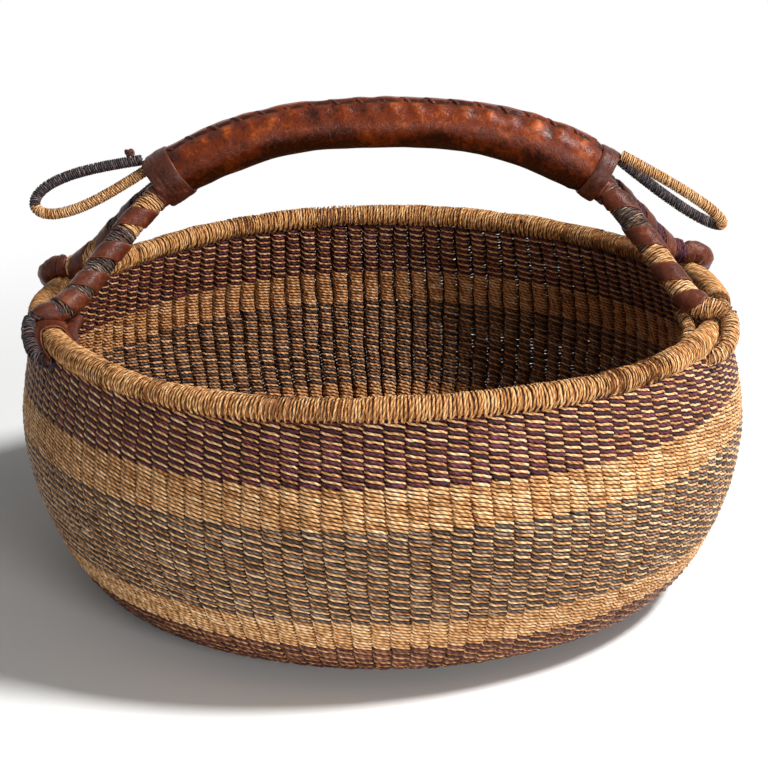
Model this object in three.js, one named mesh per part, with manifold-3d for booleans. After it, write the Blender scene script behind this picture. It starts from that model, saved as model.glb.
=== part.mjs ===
// A large round bolga basket: a twined grass bowl with a wrapped rim,
// under an arched handle bound in leather.
// Millimetres, +Z up. The origin is on the floor under the middle of the base, and -Y is the front.

import * as THREE from 'three';
import { mergeVertices } from 'three/addons/utils/BufferGeometryUtils.js';
import Module from 'manifold-3d';

const wasm = await Module();
wasm.setup();

// Clearances between pieces that touch on the real basket
const clearance = 0.3;
const bindingClearance = 0.6;
const cutOverrun = 6;

// The bowl
const bellyRadius = 210.8;
const rimHeight = 165;
const rimRadius = 196;
const rimThickness = 14.4;
const rimWrapDepth = 2;
const rimCoreThickness = 8.6;
const rimLipAngle = THREE.MathUtils.degToRad(35);
const rimCoreSides = 6;
const rimWrapSteps = 8;
const rimBoreSteps = 6;
const outerWeaveDepth = 2.7;
const innerWeaveDepth = 2.3;
const stakeSpace = 3.4;
const stakeDepth = 3.1;
const stakeWidth = 3.5;
const stakeCount = 120;
const stakesPerFacet = 3;
const hubLap = 0.5;

// The outside of the wall from the middle of the base to below the rim:
// shares of the belly's radius and of the rim's height, where the weaver turned the wall or changed colour
const wallOutlineShares = [
  [0, 0],
  [0.56, 0],
  [0.788, 0.048],
  [0.899, 0.182],
  [0.944, 0.297],
  [0.98, 0.455],
  [1, 0.633],
  [0.986, 0.774],
];

// The wall's bands: the first and the last outline point that each one reaches.
// The heel turns up from the base, and the foot stands on it.
const bands = [
  { name: 'heel_band', color: '#7a4a38', from: 1, to: 2 },
  { name: 'foot_band', color: '#7a4a38', from: 2, to: 3 },
  { name: 'lower_straw_band', color: '#c9975c', from: 3, to: 4 },
  { name: 'grey_band', color: '#6d6055', from: 4, to: 6 },
  { name: 'middle_straw_band', color: '#c9975c', from: 6, to: 7 },
  { name: 'purple_band', color: '#6b3b3c', from: 7, to: 8 },
];

// Hand work: the rim stands a little to one side of the base and waves up and down as it goes round
const rimLean = 3;
const rimWaveHeight = 1;
const rimWaves = [
  { crests: 2, heightShare: 0.6, start: THREE.MathUtils.degToRad(132) },
  { crests: 3, heightShare: 1.3, start: THREE.MathUtils.degToRad(-100) },
  { crests: 4, heightShare: 1.3, start: THREE.MathUtils.degToRad(45) },
  { crests: 5, heightShare: 0.5, start: THREE.MathUtils.degToRad(-75) },
];
const waveFade = 1.5;

// The grip: an arched bundle in a laced leather sleeve
const handleRise = 106;
const gripHalfSpan = 126;
const gripShift = 2;
const gripDrop = 32.5;
const gripArchPower = 2.5;
const gripCoreThickness = 23;
const gripThickness = 29;
const gripSeamAngle = THREE.MathUtils.degToRad(14);
const laceThickness = 2.2;
const laceReach = 2.6;
const laceCrossings = 40;
const laceEndGap = 5;
const laceSides = 4;
const gripSides = 10;

// How the sleeve swells along the grip: share of the half span, share of the grip's thickness
const gripSwellShares = [
  [-1, 1],
  [-0.9, 1.02],
  [-0.8, 1.05],
  [-0.65, 1.05],
  [-0.5, 1.01],
  [-0.3, 0.99],
  [-0.1, 1],
  [0.1, 1],
  [0.3, 1.01],
  [0.5, 1.04],
  [0.65, 1.08],
  [0.8, 1.13],
  [0.9, 1.13],
  [1, 0.9],
];

// The collars, wound over the heads of the legs: how far each one reaches back over the grip's end
const collarPast = 2.5;
const collarThickness = 1.6;
const collarSides = 16;
const collarBulgeShares = [0, 0.5, 0.5, 0];
const leftCollarBack = 13;
const rightCollarBack = 7;
const collars = [
  { name: 'left', side: -1, back: leftCollarBack },
  { name: 'right', side: 1, back: rightCollarBack },
];

// The legs: bundles that leave the lower half of the grip in pairs. Each comes down inside the rim, runs
// out over its top and is turned round it in an eye.
const legCoreThickness = 9.4;
const legHeadSpacing = 15;
const legHeadLength = 4;
const legHeadDrop = 5;
const legLandingRun = 16;
const legWrapDepth = 1.3;
const legWrapStart = 2.5;
const legWrapEnd = 22;
const legStrapThickness = 0.9;
const legStrapWidth = 9.5;
const legStrapPitch = 19;
const legStrapStart = 6.5;
const legStrapEnd = 13;
const legSteps = 6;
const legSides = 8;
const strapStepsPerTurn = 12;
const eyeCoreThickness = 6.6;
const eyeNeckThickness = 5.2;
const eyeWrapDepth = 1;
const eyeStations = [100, 76, 53, 29, 5, -18, -45, -68, -90, -112, -135, -158, -180]
  .map(THREE.MathUtils.degToRad);
const [eyeLandingAngle, , , , , eyeWrapEnd, eyeNeckAngle] = eyeStations;
const eyeSkewInStakes = 1.2;
const eyeReturnLength = 21;
const notchPlay = 2.4;

// Each leg: its side, front or rear, and the gap between stakes that its eye goes through,
// counted in stakes from the side of the bowl
const legs = [
  { name: 'front_left', side: -1, end: -1, stakesAlong: 9, wrap: '#6b625c', eye: '#4a3a40', hand: 1 },
  { name: 'rear_left', side: -1, end: 1, stakesAlong: 7, wrap: '#a5763f', eye: '#6e3b22', hand: -1 },
  { name: 'front_right', side: 1, end: -1, stakesAlong: 9, wrap: '#8b7a66', eye: '#c9975c', hand: -1 },
  { name: 'rear_right', side: 1, end: 1, stakesAlong: 8, wrap: '#6b4450', eye: '#6e3b22', hand: 1 },
];

// The strap beside the front left eye
const rimStrapWidth = 9;
const rimStrapThickness = 1;
const rimStrapFrom = THREE.MathUtils.degToRad(-33);
const rimStrapTo = THREE.MathUtils.degToRad(205);
const rimStrapSteps = 12;

// The end loops: rods wound half in dark grass and half in straw, one past each end of the grip
const loopThickness = 6.2;
const loopSteps = 9;
const loopSides = 8;
const loopWidth = 16;
const leftLoopLength = 66.5;
const rightLoopLength = 71.5;
const loops = [
  {
    name: 'left', side: -1, length: leftLoopLength,
    along: new THREE.Vector3(-0.94, -0.08, -0.33), across: new THREE.Vector3(-0.15, 0.35, 0.92),
  },
  {
    name: 'right', side: 1, length: rightLoopLength,
    along: new THREE.Vector3(0.83, -0.03, -0.56), across: new THREE.Vector3(0, 0.78, -0.62),
  },
];
const knotThickness = 6;
const knotShare = 0.05;

// The finishes
const strawColor = '#c9975c';
const darkGrassColor = '#4f464b';
const leatherColor = '#7d3a1d';
const darkLeatherColor = '#5a2c1c';

function grass(color) {
  return new THREE.MeshStandardMaterial({ color, roughness: 0.62, metalness: 0 });
}

function leather(color) {
  return new THREE.MeshStandardMaterial({ color, roughness: 0.38, metalness: 0 });
}

// Sizes that follow from the ones above
const up = new THREE.Vector3(0, 0, 1);
const facets = stakeCount / stakesPerFacet;
const facetAngle = (2 * Math.PI) / facets;
const stakeAngle = (2 * Math.PI) / stakeCount;
const rimTube = rimThickness / 2;
const weaveTop = rimHeight - rimTube * Math.cos(rimLipAngle) - clearance;
const stakeTop = rimHeight - rimCoreThickness / 2 - clearance;
const innerWeaveStart = outerWeaveDepth + stakeSpace + 2 * clearance;
const stakeMiddle = outerWeaveDepth + clearance + stakeSpace / 2;

// Wall outline

function wallOutline() {
  const points = wallOutlineShares.map(
    ([radiusShare, heightShare]) => new THREE.Vector2(radiusShare * bellyRadius, heightShare * rimHeight),
  );
  points.push(new THREE.Vector2(rimRadius + stakeMiddle, weaveTop));
  return points;
}

// The outline moved into the wall by a depth, with its corners mitred
function insetOutline(depth) {
  const outline = wallOutline();
  const normals = outline.slice(1).map((point, index) => {
    const run = point.clone().sub(outline[index]).normalize();
    return new THREE.Vector2(-run.y, run.x);
  });
  return outline.map((point, index) => {
    const before = normals[Math.max(index - 1, 0)];
    const after = normals[Math.min(index, normals.length - 1)];
    const mitre = before.clone().add(after).normalize();
    return point.clone().addScaledVector(mitre, depth / mitre.dot(after));
  });
}

// Part of a line of points, drawn in at both of its ends
function trimmedRun(line, from, to, startTrim, endTrim) {
  const run = line.slice(from, to + 1).map((point) => point.clone());
  const last = run.length - 1;
  const startWay = run[1].clone().sub(run[0]).normalize();
  const endWay = run[last - 1].clone().sub(run[last]).normalize();
  run[0].addScaledVector(startWay, startTrim);
  run[last].addScaledVector(endWay, endTrim);
  return run;
}

// Closed solids

function fromTriangles(positions, indices) {
  const geometry = new THREE.BufferGeometry();
  geometry.setAttribute('position', new THREE.Float32BufferAttribute(positions, 3));
  geometry.setIndex(indices);
  return facesOut(geometry);
}

// Turns a closed solid's faces outwards
function facesOut(geometry) {
  const place = geometry.getAttribute('position');
  const index = geometry.getIndex();
  const [a, b, c] = [new THREE.Vector3(), new THREE.Vector3(), new THREE.Vector3()];
  let volume = 0;
  for (let i = 0; i < index.count; i += 3) {
    a.fromBufferAttribute(place, index.getX(i));
    b.fromBufferAttribute(place, index.getX(i + 1));
    c.fromBufferAttribute(place, index.getX(i + 2));
    volume += a.dot(b.cross(c));
  }
  if (volume < 0) {
    for (let i = 0; i < index.count; i += 3) {
      const first = index.getX(i);
      index.setX(i, index.getX(i + 1));
      index.setX(i + 1, first);
    }
  }
  return geometry;
}

// A solid through a row of rings of points, its ends closed by flat fans
function loft(rings) {
  const sides = rings[0].length;
  const indices = [];
  for (let ring = 0; ring < rings.length - 1; ring += 1) {
    for (let side = 0; side < sides; side += 1) {
      const a = ring * sides + side;
      const b = ring * sides + ((side + 1) % sides);
      indices.push(a, b, b + sides, a, b + sides, a + sides);
    }
  }
  const last = (rings.length - 1) * sides;
  for (let side = 1; side < sides - 1; side += 1) {
    indices.push(0, side + 1, side);
    indices.push(last, last + side, last + side + 1);
  }
  return fromTriangles(rings.flat().flatMap((point) => point.toArray()), indices);
}

// A sleeve between two rows of rings, open at both ends
function sleeve(outerRings, innerRings) {
  const sides = outerRings[0].length;
  const count = outerRings.length;
  const inner = count * sides;
  const indices = [];
  for (let ring = 0; ring < count; ring += 1) {
    for (let side = 0; side < sides; side += 1) {
      const a = ring * sides + side;
      const b = ring * sides + ((side + 1) % sides);
      if (ring < count - 1) {
        indices.push(a, b, b + sides, a, b + sides, a + sides);
        indices.push(inner + a, inner + b + sides, inner + b);
        indices.push(inner + a, inner + a + sides, inner + b + sides);
      }
      if (ring === 0) {
        indices.push(a, inner + b, b, a, inner + a, inner + b);
      }
      if (ring === count - 1) {
        indices.push(a, b, inner + b, a, inner + b, inner + a);
      }
    }
  }
  const points = [...outerRings, ...innerRings].flat();
  return fromTriangles(points.flatMap((point) => point.toArray()), indices);
}

// A ring of points round a centre, in the plane of two directions
function ringRound(centre, first, second, radius, sides, turn = 0) {
  return Array.from({ length: sides }, (unused, side) => {
    const angle = turn + (side / sides) * 2 * Math.PI;
    return centre.clone()
      .addScaledVector(first, radius * Math.cos(angle))
      .addScaledVector(second, radius * Math.sin(angle));
  });
}

// The inner radius of a faceted sleeve that clears a round piece
function around(radius, sides, gap = clearance) {
  return (radius + gap) / Math.cos(Math.PI / sides);
}

// Round rings along a line of points, carried along it without a twist.
// The end faces can be given their own ways.
function ringsAlong(points, radii, sides, firstWay, lastWay) {
  const last = points.length - 1;
  const lift = up.clone();
  return points.map((point, index) => {
    const before = points[Math.max(index - 1, 0)];
    const after = points[Math.min(index + 1, last)];
    const given = (index === 0 && firstWay) || (index === last && lastWay);
    const way = given ? given.clone() : after.clone().sub(before).normalize();
    lift.addScaledVector(way, -lift.dot(way)).normalize();
    const across = way.clone().cross(lift);
    return ringRound(point, lift, across, radii[index], sides);
  });
}

function toManifold(geometry) {
  const bare = new THREE.BufferGeometry();
  bare.setAttribute('position', geometry.getAttribute('position'));
  bare.setIndex(geometry.getIndex());
  const merged = mergeVertices(bare);
  return new wasm.Manifold(new wasm.Mesh({
    numProp: 3,
    vertProperties: new Float32Array(merged.getAttribute('position').array),
    triVerts: new Uint32Array(merged.getIndex().array),
  }));
}

function fromManifold(solid) {
  const mesh = solid.getMesh();
  return fromTriangles(Array.from(mesh.vertProperties), Array.from(mesh.triVerts));
}

// Hand work on the bowl

function rimWave(azimuth) {
  return rimWaves.reduce(
    (sum, wave) => sum + rimWaveHeight * wave.heightShare * Math.cos(wave.crests * azimuth - wave.start),
    0,
  );
}

// Moves a point of an even bowl to where the hand-woven one has it
function asWoven(point) {
  const heightShare = Math.max(point.z, 0) / rimHeight;
  const azimuth = Math.atan2(point.y, point.x);
  const radiusShare = Math.min(Math.hypot(point.x, point.y) / rimRadius, 1);
  point.z += rimWave(azimuth) * heightShare ** waveFade * radiusShare;
  point.x -= rimLean * heightShare;
  return point;
}

function woven(geometry) {
  const place = geometry.getAttribute('position');
  const point = new THREE.Vector3();
  for (let i = 0; i < place.count; i += 1) {
    asWoven(point.fromBufferAttribute(place, i));
    place.setXYZ(i, point.x, point.y, point.z);
  }
  return geometry;
}

// The bowl's layers

function revolved(profile) {
  const geometry = new THREE.LatheGeometry(profile, facets);
  geometry.rotateX(Math.PI / 2);
  return facesOut(geometry);
}

// One layer of weave between two depths of the wall
function weaveLayer(from, to, faceDepth, backDepth) {
  const startTrim = from > 0 ? clearance / 2 : 0;
  const endTrim = to < wallOutlineShares.length ? clearance / 2 : 0;
  const [face, back] = [faceDepth, backDepth].map(
    (depth) => trimmedRun(insetOutline(depth), from, to, startTrim, endTrim),
  );
  const profile = [...face, ...back.reverse()];
  if (from > 0) {
    profile.push(profile[0].clone());
  }
  return revolved(profile);
}

// Where the turned rim stands between two corners of the faceted bowl, as a share of its radius
function facetShare(azimuth) {
  const within = ((azimuth % facetAngle) + facetAngle) % facetAngle;
  return Math.cos(facetAngle / 2) / Math.cos(within - facetAngle / 2);
}

function legSpread(leg) {
  return (leg.stakesAlong - eyeSkewInStakes) * stakeAngle;
}

function outward(side, end, spread) {
  return new THREE.Vector3(side * Math.cos(spread), end * Math.sin(spread), 0);
}

// The gaps just under the rim where the eyes go through the top rows
function cutEyeNotches(geometry) {
  const neckRadius = eyeNeckThickness / 2;
  const neckHeight = rimHeight - rimTube - bindingClearance - neckRadius;
  const bottom = neckHeight - neckRadius - bindingClearance;
  const width = 2 * (neckRadius + clearance + notchPlay);
  const height = rimHeight - bottom;
  let solid = toManifold(geometry);
  for (const leg of legs) {
    const way = outward(leg.side, leg.end, leg.stakesAlong * stakeAngle);
    const notch = new THREE.BoxGeometry(rimThickness + 2 * cutOverrun, width, height);
    notch.rotateZ(Math.atan2(way.y, way.x));
    notch.translate(way.x * rimRadius, way.y * rimRadius, bottom + height / 2);
    solid = solid.subtract(toManifold(notch));
  }
  return fromManifold(solid);
}

// Stakes: straws that cross in the flat of the base, turned up and spread round the wall

function onFacet(point, facet, share) {
  const start = facet * facetAngle;
  const end = start + facetAngle;
  return new THREE.Vector3(
    point.x * THREE.MathUtils.lerp(Math.cos(start), Math.cos(end), share),
    point.x * THREE.MathUtils.lerp(Math.sin(start), Math.sin(end), share),
    point.y,
  );
}

function stake(facet, share) {
  const play = (stakeSpace - stakeDepth) / 2;
  const lines = [outerWeaveDepth + clearance + play, innerWeaveStart - clearance - play].map((depth) => {
    const line = insetOutline(depth).slice(1);
    const top = line.pop();
    const run = top.clone().sub(line[line.length - 1]);
    top.addScaledVector(run, (stakeTop - top.y) / run.y);
    return [...line, top];
  });
  const rings = lines[0].map((outer, index) => {
    const halfShare = stakeWidth / 2 / (2 * outer.x * Math.sin(facetAngle / 2));
    return [
      onFacet(outer, facet, share - halfShare),
      onFacet(outer, facet, share + halfShare),
      onFacet(lines[1][index], facet, share),
    ];
  });
  return loft(rings);
}

function stakeBundle() {
  const bottom = outerWeaveDepth + clearance;
  const top = innerWeaveStart - clearance;
  const hubRadius = insetOutline(bottom)[1].x + hubLap;
  const hub = revolved([
    new THREE.Vector2(0, bottom),
    new THREE.Vector2(hubRadius, bottom),
    new THREE.Vector2(hubRadius, top),
    new THREE.Vector2(0, top),
  ]);
  const solids = [toManifold(hub)];
  for (let facet = 0; facet < facets; facet += 1) {
    for (let place = 0; place < stakesPerFacet; place += 1) {
      solids.push(toManifold(stake(facet, (place + 0.5) / stakesPerFacet)));
    }
  }
  return fromManifold(wasm.Manifold.union(solids));
}

// The rim: the stakes' turned-down ends in a ring, and the straw wound over them

function evenSteps(from, to, steps) {
  return Array.from({ length: steps + 1 }, (unused, step) => THREE.MathUtils.lerp(from, to, step / steps));
}

// Part of the circle of the rim's section
function rimArc(radius, from, to, steps) {
  return evenSteps(from, to, steps).map(
    (angle) => new THREE.Vector2(rimRadius + radius * Math.cos(angle), rimHeight + radius * Math.sin(angle)),
  );
}

function rimCore() {
  const firstCorner = -Math.PI / rimCoreSides;
  return revolved(rimArc(rimCoreThickness / 2, firstCorner, firstCorner + 2 * Math.PI, rimCoreSides));
}

function rimWrap() {
  const from = rimLipAngle - Math.PI / 2;
  const to = (3 * Math.PI) / 2 - rimLipAngle;
  const outside = rimArc(rimTube, from, to, rimWrapSteps);
  const inside = rimArc(rimTube - rimWrapDepth, from, to, rimBoreSteps).reverse();
  return revolved([...outside, ...inside, outside[0].clone()]);
}

// The grip, in the handle's own frame with its origin at the middle of the rim

function gripPoint(share) {
  return new THREE.Vector3(
    gripShift + share * gripHalfSpan,
    0,
    handleRise - gripDrop * Math.abs(share) ** gripArchPower,
  );
}

function gripWay(share) {
  const steepest = (gripDrop / gripHalfSpan) * gripArchPower;
  const slope = -steepest * Math.abs(share) ** (gripArchPower - 1) * Math.sign(share);
  return new THREE.Vector3(1, 0, slope).normalize();
}

function gripSwell(share) {
  for (let i = 1; i < gripSwellShares.length; i += 1) {
    const [start, low] = gripSwellShares[i - 1];
    const [end, high] = gripSwellShares[i];
    if (share <= end) {
      return THREE.MathUtils.lerp(low, high, (share - start) / (end - start));
    }
  }
  return gripSwellShares[gripSwellShares.length - 1][1];
}

function gripRing(share, radius, sides, turn) {
  const across = new THREE.Vector3(0, 1, 0);
  const lift = gripWay(share).cross(across).normalize();
  return ringRound(gripPoint(share), lift, across, radius, sides, turn);
}

function gripRadius(share) {
  return (gripThickness / 2) * gripSwell(share);
}

const gripShares = gripSwellShares.map(([share]) => share);
const gripTurn = gripSeamAngle + Math.PI / gripSides;

function gripCore() {
  return loft(gripShares.map((share) => gripRing(share, gripCoreThickness / 2, gripSides, gripTurn)));
}

function gripLeather() {
  const inner = gripCoreThickness / 2 + clearance;
  return sleeve(
    gripShares.map((share) => gripRing(share, gripRadius(share), gripSides, gripTurn)),
    gripShares.map((share) => gripRing(share, inner, gripSides, gripTurn)),
  );
}

// The thong that laces the sleeve shut, crossing the seam from side to side
function gripLacing() {
  const across = new THREE.Vector3(0, 1, 0);
  const reach = 1 - (collars[0].back + laceEndGap) / gripHalfSpan;
  const points = Array.from({ length: laceCrossings + 1 }, (unused, index) => {
    const share = reach * ((2 * index) / laceCrossings - 1);
    const lift = gripWay(share).cross(across).normalize();
    const seam = lift.clone().multiplyScalar(Math.cos(gripSeamAngle))
      .addScaledVector(across, Math.sin(gripSeamAngle));
    const sideways = across.clone().multiplyScalar(Math.cos(gripSeamAngle))
      .addScaledVector(lift, -Math.sin(gripSeamAngle));
    const height = gripRadius(share) * Math.cos(Math.PI / gripSides) + laceThickness / 2 + clearance;
    return gripPoint(share)
      .addScaledVector(seam, height)
      .addScaledVector(sideways, index % 2 === 0 ? laceReach : -laceReach);
  });
  return loft(ringsAlong(points, points.map(() => laceThickness / 2), laceSides));
}

// The way out of the grip at one end, along its line
function gripOut(side) {
  return gripWay(side).multiplyScalar(side);
}

// The way up from the grip's line at one end
function gripLift(side) {
  const way = gripOut(side);
  return new THREE.Vector3(-way.z * side, 0, way.x * side);
}

function collarRadius({ side, back }) {
  return around(gripRadius(side * (1 - back / gripHalfSpan)), collarSides);
}

function collar(band) {
  const { side, back } = band;
  const across = new THREE.Vector3(0, 1, 0);
  const way = gripOut(side);
  const lift = gripLift(side);
  const inner = collarRadius(band);
  const rings = (thickness) => collarBulgeShares.map((bulge, index) => {
    const place = THREE.MathUtils.lerp(-back, collarPast, index / (collarBulgeShares.length - 1));
    const centre = gripPoint(side).addScaledVector(way, place);
    return ringRound(centre, lift, across, inner + thickness * (1 + bulge), collarSides);
  });
  return sleeve(rings(collarThickness), rings(0));
}

// The legs and their eyes

const legWrapRadius = around(legCoreThickness / 2, legSides, bindingClearance);
const legStrapRadius = around(legWrapRadius + legWrapDepth, strapStepsPerTurn);

// A point of the eye: how far round the rim's section, and how far from the rim's middle
function eyePoint(leg, turn, reach, aside = 0) {
  const skew = THREE.MathUtils.clamp(Math.sin(turn) / Math.sin(eyeNeckAngle), -1, 1);
  const spread = legSpread(leg) + eyeSkewInStakes * stakeAngle * skew - aside / rimRadius;
  const way = outward(leg.side, leg.end, spread);
  const azimuth = Math.atan2(way.y, way.x);
  return way.multiplyScalar(rimRadius * facetShare(azimuth) + reach * Math.cos(turn))
    .setZ(rimWave(azimuth) + reach * Math.sin(turn));
}

// The eye is full where it is wound, outside the rim, and squeezed thin where it goes through the weave
function eyeCoreRadius(turn) {
  const share = THREE.MathUtils.clamp((turn - eyeWrapEnd) / (eyeNeckAngle - eyeWrapEnd), 0, 1);
  return THREE.MathUtils.lerp(eyeCoreThickness, eyeNeckThickness, share) / 2;
}

function eyeWrapRadius(turn) {
  return around(eyeCoreRadius(turn), legSides, bindingClearance) + eyeWrapDepth;
}

function eyeReach(turn) {
  const share = THREE.MathUtils.clamp((turn - eyeWrapEnd) / (eyeNeckAngle - eyeWrapEnd), 0, 1);
  return rimTube + bindingClearance + THREE.MathUtils.lerp(eyeWrapRadius(turn), eyeNeckThickness / 2, share);
}

// Where a leg's head meets the end of the grip
function legHead(leg) {
  return gripPoint(leg.side).addScaledVector(gripOut(leg.side), clearance)
    .add(new THREE.Vector3(0, (leg.end * legHeadSpacing) / 2, 0))
    .addScaledVector(gripLift(leg.side), -legHeadDrop);
}

// The leg's line from the collar's mouth to where it lands on the rim
function legLine(leg) {
  const way = gripOut(leg.side);
  const head = legHead(leg).addScaledVector(way, legHeadLength);
  const landing = eyePoint(leg, eyeLandingAngle, eyeReach(eyeLandingAngle));
  const next = eyePoint(leg, eyeLandingAngle - stakeAngle, eyeReach(eyeLandingAngle));
  const landingWay = next.sub(landing).normalize();
  const straight = landing.clone().sub(head);
  const third = straight.length() / 3;
  const headWay = straight.normalize().add(way).normalize();
  return new THREE.CubicBezierCurve3(
    head,
    head.clone().addScaledVector(headWay, third),
    landing.clone().addScaledVector(landingWay, -legLandingRun),
    landing,
  );
}

function legCore(leg) {
  const line = legLine(leg);
  const points = [legHead(leg), ...line.getSpacedPoints(legSteps)];
  const radii = points.map((unused, index) => (index <= legSteps ? legCoreThickness : eyeCoreThickness) / 2);
  for (const turn of eyeStations.slice(1)) {
    points.push(eyePoint(leg, turn, eyeReach(turn)));
    radii.push(eyeCoreRadius(turn));
  }
  const length = line.getLength();
  const meeting = line.getPointAt(1 - eyeReturnLength / length);
  const way = line.getTangentAt(1 - eyeReturnLength / length);
  const below = way.clone().cross(new THREE.Vector3(-way.y, way.x, 0)).normalize();
  if (below.z > 0) {
    below.negate();
  }
  const bound = legStrapRadius + legStrapThickness + bindingClearance;
  points.push(meeting.addScaledVector(below, bound + eyeNeckThickness / 2));
  radii.push(eyeNeckThickness / 2);
  return loft(ringsAlong(points, radii, legSides, gripOut(leg.side)));
}

// Directions across a leg: sideways and upwards
function legFrame(line, share) {
  const way = line.getTangentAt(share);
  const sideways = way.clone().cross(up).normalize();
  return { way, sideways, lift: sideways.clone().cross(way) };
}

function legWrap(leg) {
  const line = legLine(leg);
  const length = line.getLength();
  const rings = (radius) => Array.from({ length: legSteps }, (unused, step) => {
    const place = THREE.MathUtils.lerp(legWrapStart, length - legWrapEnd, step / (legSteps - 1));
    const { sideways, lift } = legFrame(line, place / length);
    return ringRound(line.getPointAt(place / length), lift, sideways, radius, legSides);
  });
  return sleeve(rings(legWrapRadius + legWrapDepth), rings(legWrapRadius));
}

// The leather strap wound down the leg over the grass: one strip, with grass showing between its turns
let leastStrapGap = Infinity;

function legStrap(leg) {
  const line = legLine(leg);
  const length = line.getLength();
  const inner = legStrapRadius;
  const from = legStrapStart;
  const to = length - legStrapEnd - legStrapWidth;
  const steps = Math.round(((to - from) / legStrapPitch) * strapStepsPerTurn);
  const edge = (place, angle, radius) => {
    const { sideways, lift } = legFrame(line, place / length);
    return line.getPointAt(place / length)
      .addScaledVector(lift, radius * Math.cos(angle))
      .addScaledVector(sideways, radius * Math.sin(angle));
  };
  const rings = Array.from({ length: steps + 1 }, (unused, step) => {
    const place = from + (step / strapStepsPerTurn) * legStrapPitch;
    const angle = leg.hand * (step / strapStepsPerTurn) * 2 * Math.PI;
    return [
      edge(place, angle, inner),
      edge(place, angle, inner + legStrapThickness),
      edge(place + legStrapWidth, angle, inner + legStrapThickness),
      edge(place + legStrapWidth, angle, inner),
    ];
  });
  for (let step = 0; step < rings.length; step += 1) {
    for (let later = step + strapStepsPerTurn / 2; later < rings.length; later += 1) {
      for (const low of rings[step]) {
        for (const high of rings[later]) {
          leastStrapGap = Math.min(leastStrapGap, low.distanceTo(high));
        }
      }
    }
  }
  return loft(rings);
}

// The winding on the outside of an eye, from the rim's top to the weave
function eyeWrap(leg) {
  const turns = eyeStations.filter((turn) => turn >= eyeWrapEnd);
  const points = turns.map((turn) => eyePoint(leg, turn, eyeReach(turn)));
  const bores = turns.map((turn) => eyeWrapRadius(turn) - eyeWrapDepth);
  return sleeve(
    ringsAlong(points, turns.map(eyeWrapRadius), legSides),
    ringsAlong(points, bores, legSides),
  );
}

// The flat strap drawn over the rim beside an eye, its ends tucked in under the rim
function rimStrap(leg) {
  const near = eyeWrapRadius(eyeLandingAngle) + bindingClearance;
  const inner = (rimTube + clearance) / Math.cos((rimStrapTo - rimStrapFrom) / rimStrapSteps / 2);
  return loft(evenSteps(rimStrapFrom, rimStrapTo, rimStrapSteps).map((turn) => [
    eyePoint(leg, turn, inner, -near - rimStrapWidth),
    eyePoint(leg, turn, inner + rimStrapThickness, -near - rimStrapWidth),
    eyePoint(leg, turn, inner + rimStrapThickness, -near),
    eyePoint(leg, turn, inner, -near),
  ]));
}

// The end loops

function loopAcross(loop) {
  const along = loop.along.clone().normalize();
  return loop.across.clone().addScaledVector(along, -loop.across.dot(along)).normalize();
}

// A point of a drop-shaped loop, from its root against the collar's mouth to its tip
function loopPoint(loop, half, share) {
  const way = gripOut(loop.side);
  const lift = gripLift(loop.side);
  const across = loopAcross(loop);
  const rootSpread = (loopThickness + clearance) / 2;
  const rootPast = collarPast + clearance + rootSpread * Math.abs(across.dot(way));
  const collarMiddle = collarRadius(collars.find((band) => band.side === loop.side)) + collarThickness / 2;
  const spread = rootSpread * (1 - share) + (loopWidth / 2) * Math.sin(share * Math.PI);
  return gripPoint(loop.side)
    .addScaledVector(way, rootPast)
    .addScaledVector(lift, collarMiddle - rootSpread * Math.abs(across.dot(lift)))
    .addScaledVector(loop.along.clone().normalize(), loop.length * Math.sin((share * Math.PI) / 2))
    .addScaledVector(across, half * spread);
}

function loopLimb(loop, half) {
  const points = evenSteps(0, 1, loopSteps).map((share) => loopPoint(loop, half, share));
  const tipWay = loopAcross(loop).multiplyScalar(-half);
  points[loopSteps].addScaledVector(tipWay, -clearance / 2);
  return loft(ringsAlong(points, points.map(() => loopThickness / 2), loopSides, gripOut(loop.side), tipWay));
}

function knot(loop) {
  const geometry = new THREE.IcosahedronGeometry(knotThickness / 2, 1);
  const place = loopPoint(loop, 1, knotShare)
    .addScaledVector(loopAcross(loop), (loopThickness + knotThickness) / 2 + clearance);
  geometry.translate(place.x, place.y, place.z);
  return geometry;
}

// Assembly

const basket = new THREE.Group();
const bowl = new THREE.Group();
const handle = new THREE.Group();
handle.position.set(-rimLean, 0, rimHeight);
basket.add(bowl, handle);

function add(group, name, geometry, material) {
  const mesh = new THREE.Mesh(geometry, material);
  mesh.name = name;
  group.add(mesh);
}

const innerWeaveEnd = innerWeaveStart + innerWeaveDepth;
add(bowl, 'base_underside', woven(weaveLayer(0, 1, 0, outerWeaveDepth)), grass(strawColor));
add(bowl, 'base_inside', woven(weaveLayer(0, 1, innerWeaveStart, innerWeaveEnd)), grass(strawColor));
for (const band of bands) {
  const isTop = band.to === wallOutlineShares.length;
  const outer = weaveLayer(band.from, band.to, 0, outerWeaveDepth);
  const inner = weaveLayer(band.from, band.to, innerWeaveStart, innerWeaveEnd);
  add(bowl, `outer_${band.name}`, woven(isTop ? cutEyeNotches(outer) : outer), grass(band.color));
  add(bowl, `inner_${band.name}`, woven(isTop ? cutEyeNotches(inner) : inner), grass(band.color));
}
add(bowl, 'stakes', woven(stakeBundle()), grass(strawColor));
add(bowl, 'rim_core', woven(rimCore()), grass(strawColor));
add(bowl, 'rim_wrap', woven(rimWrap()), grass(strawColor));

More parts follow.
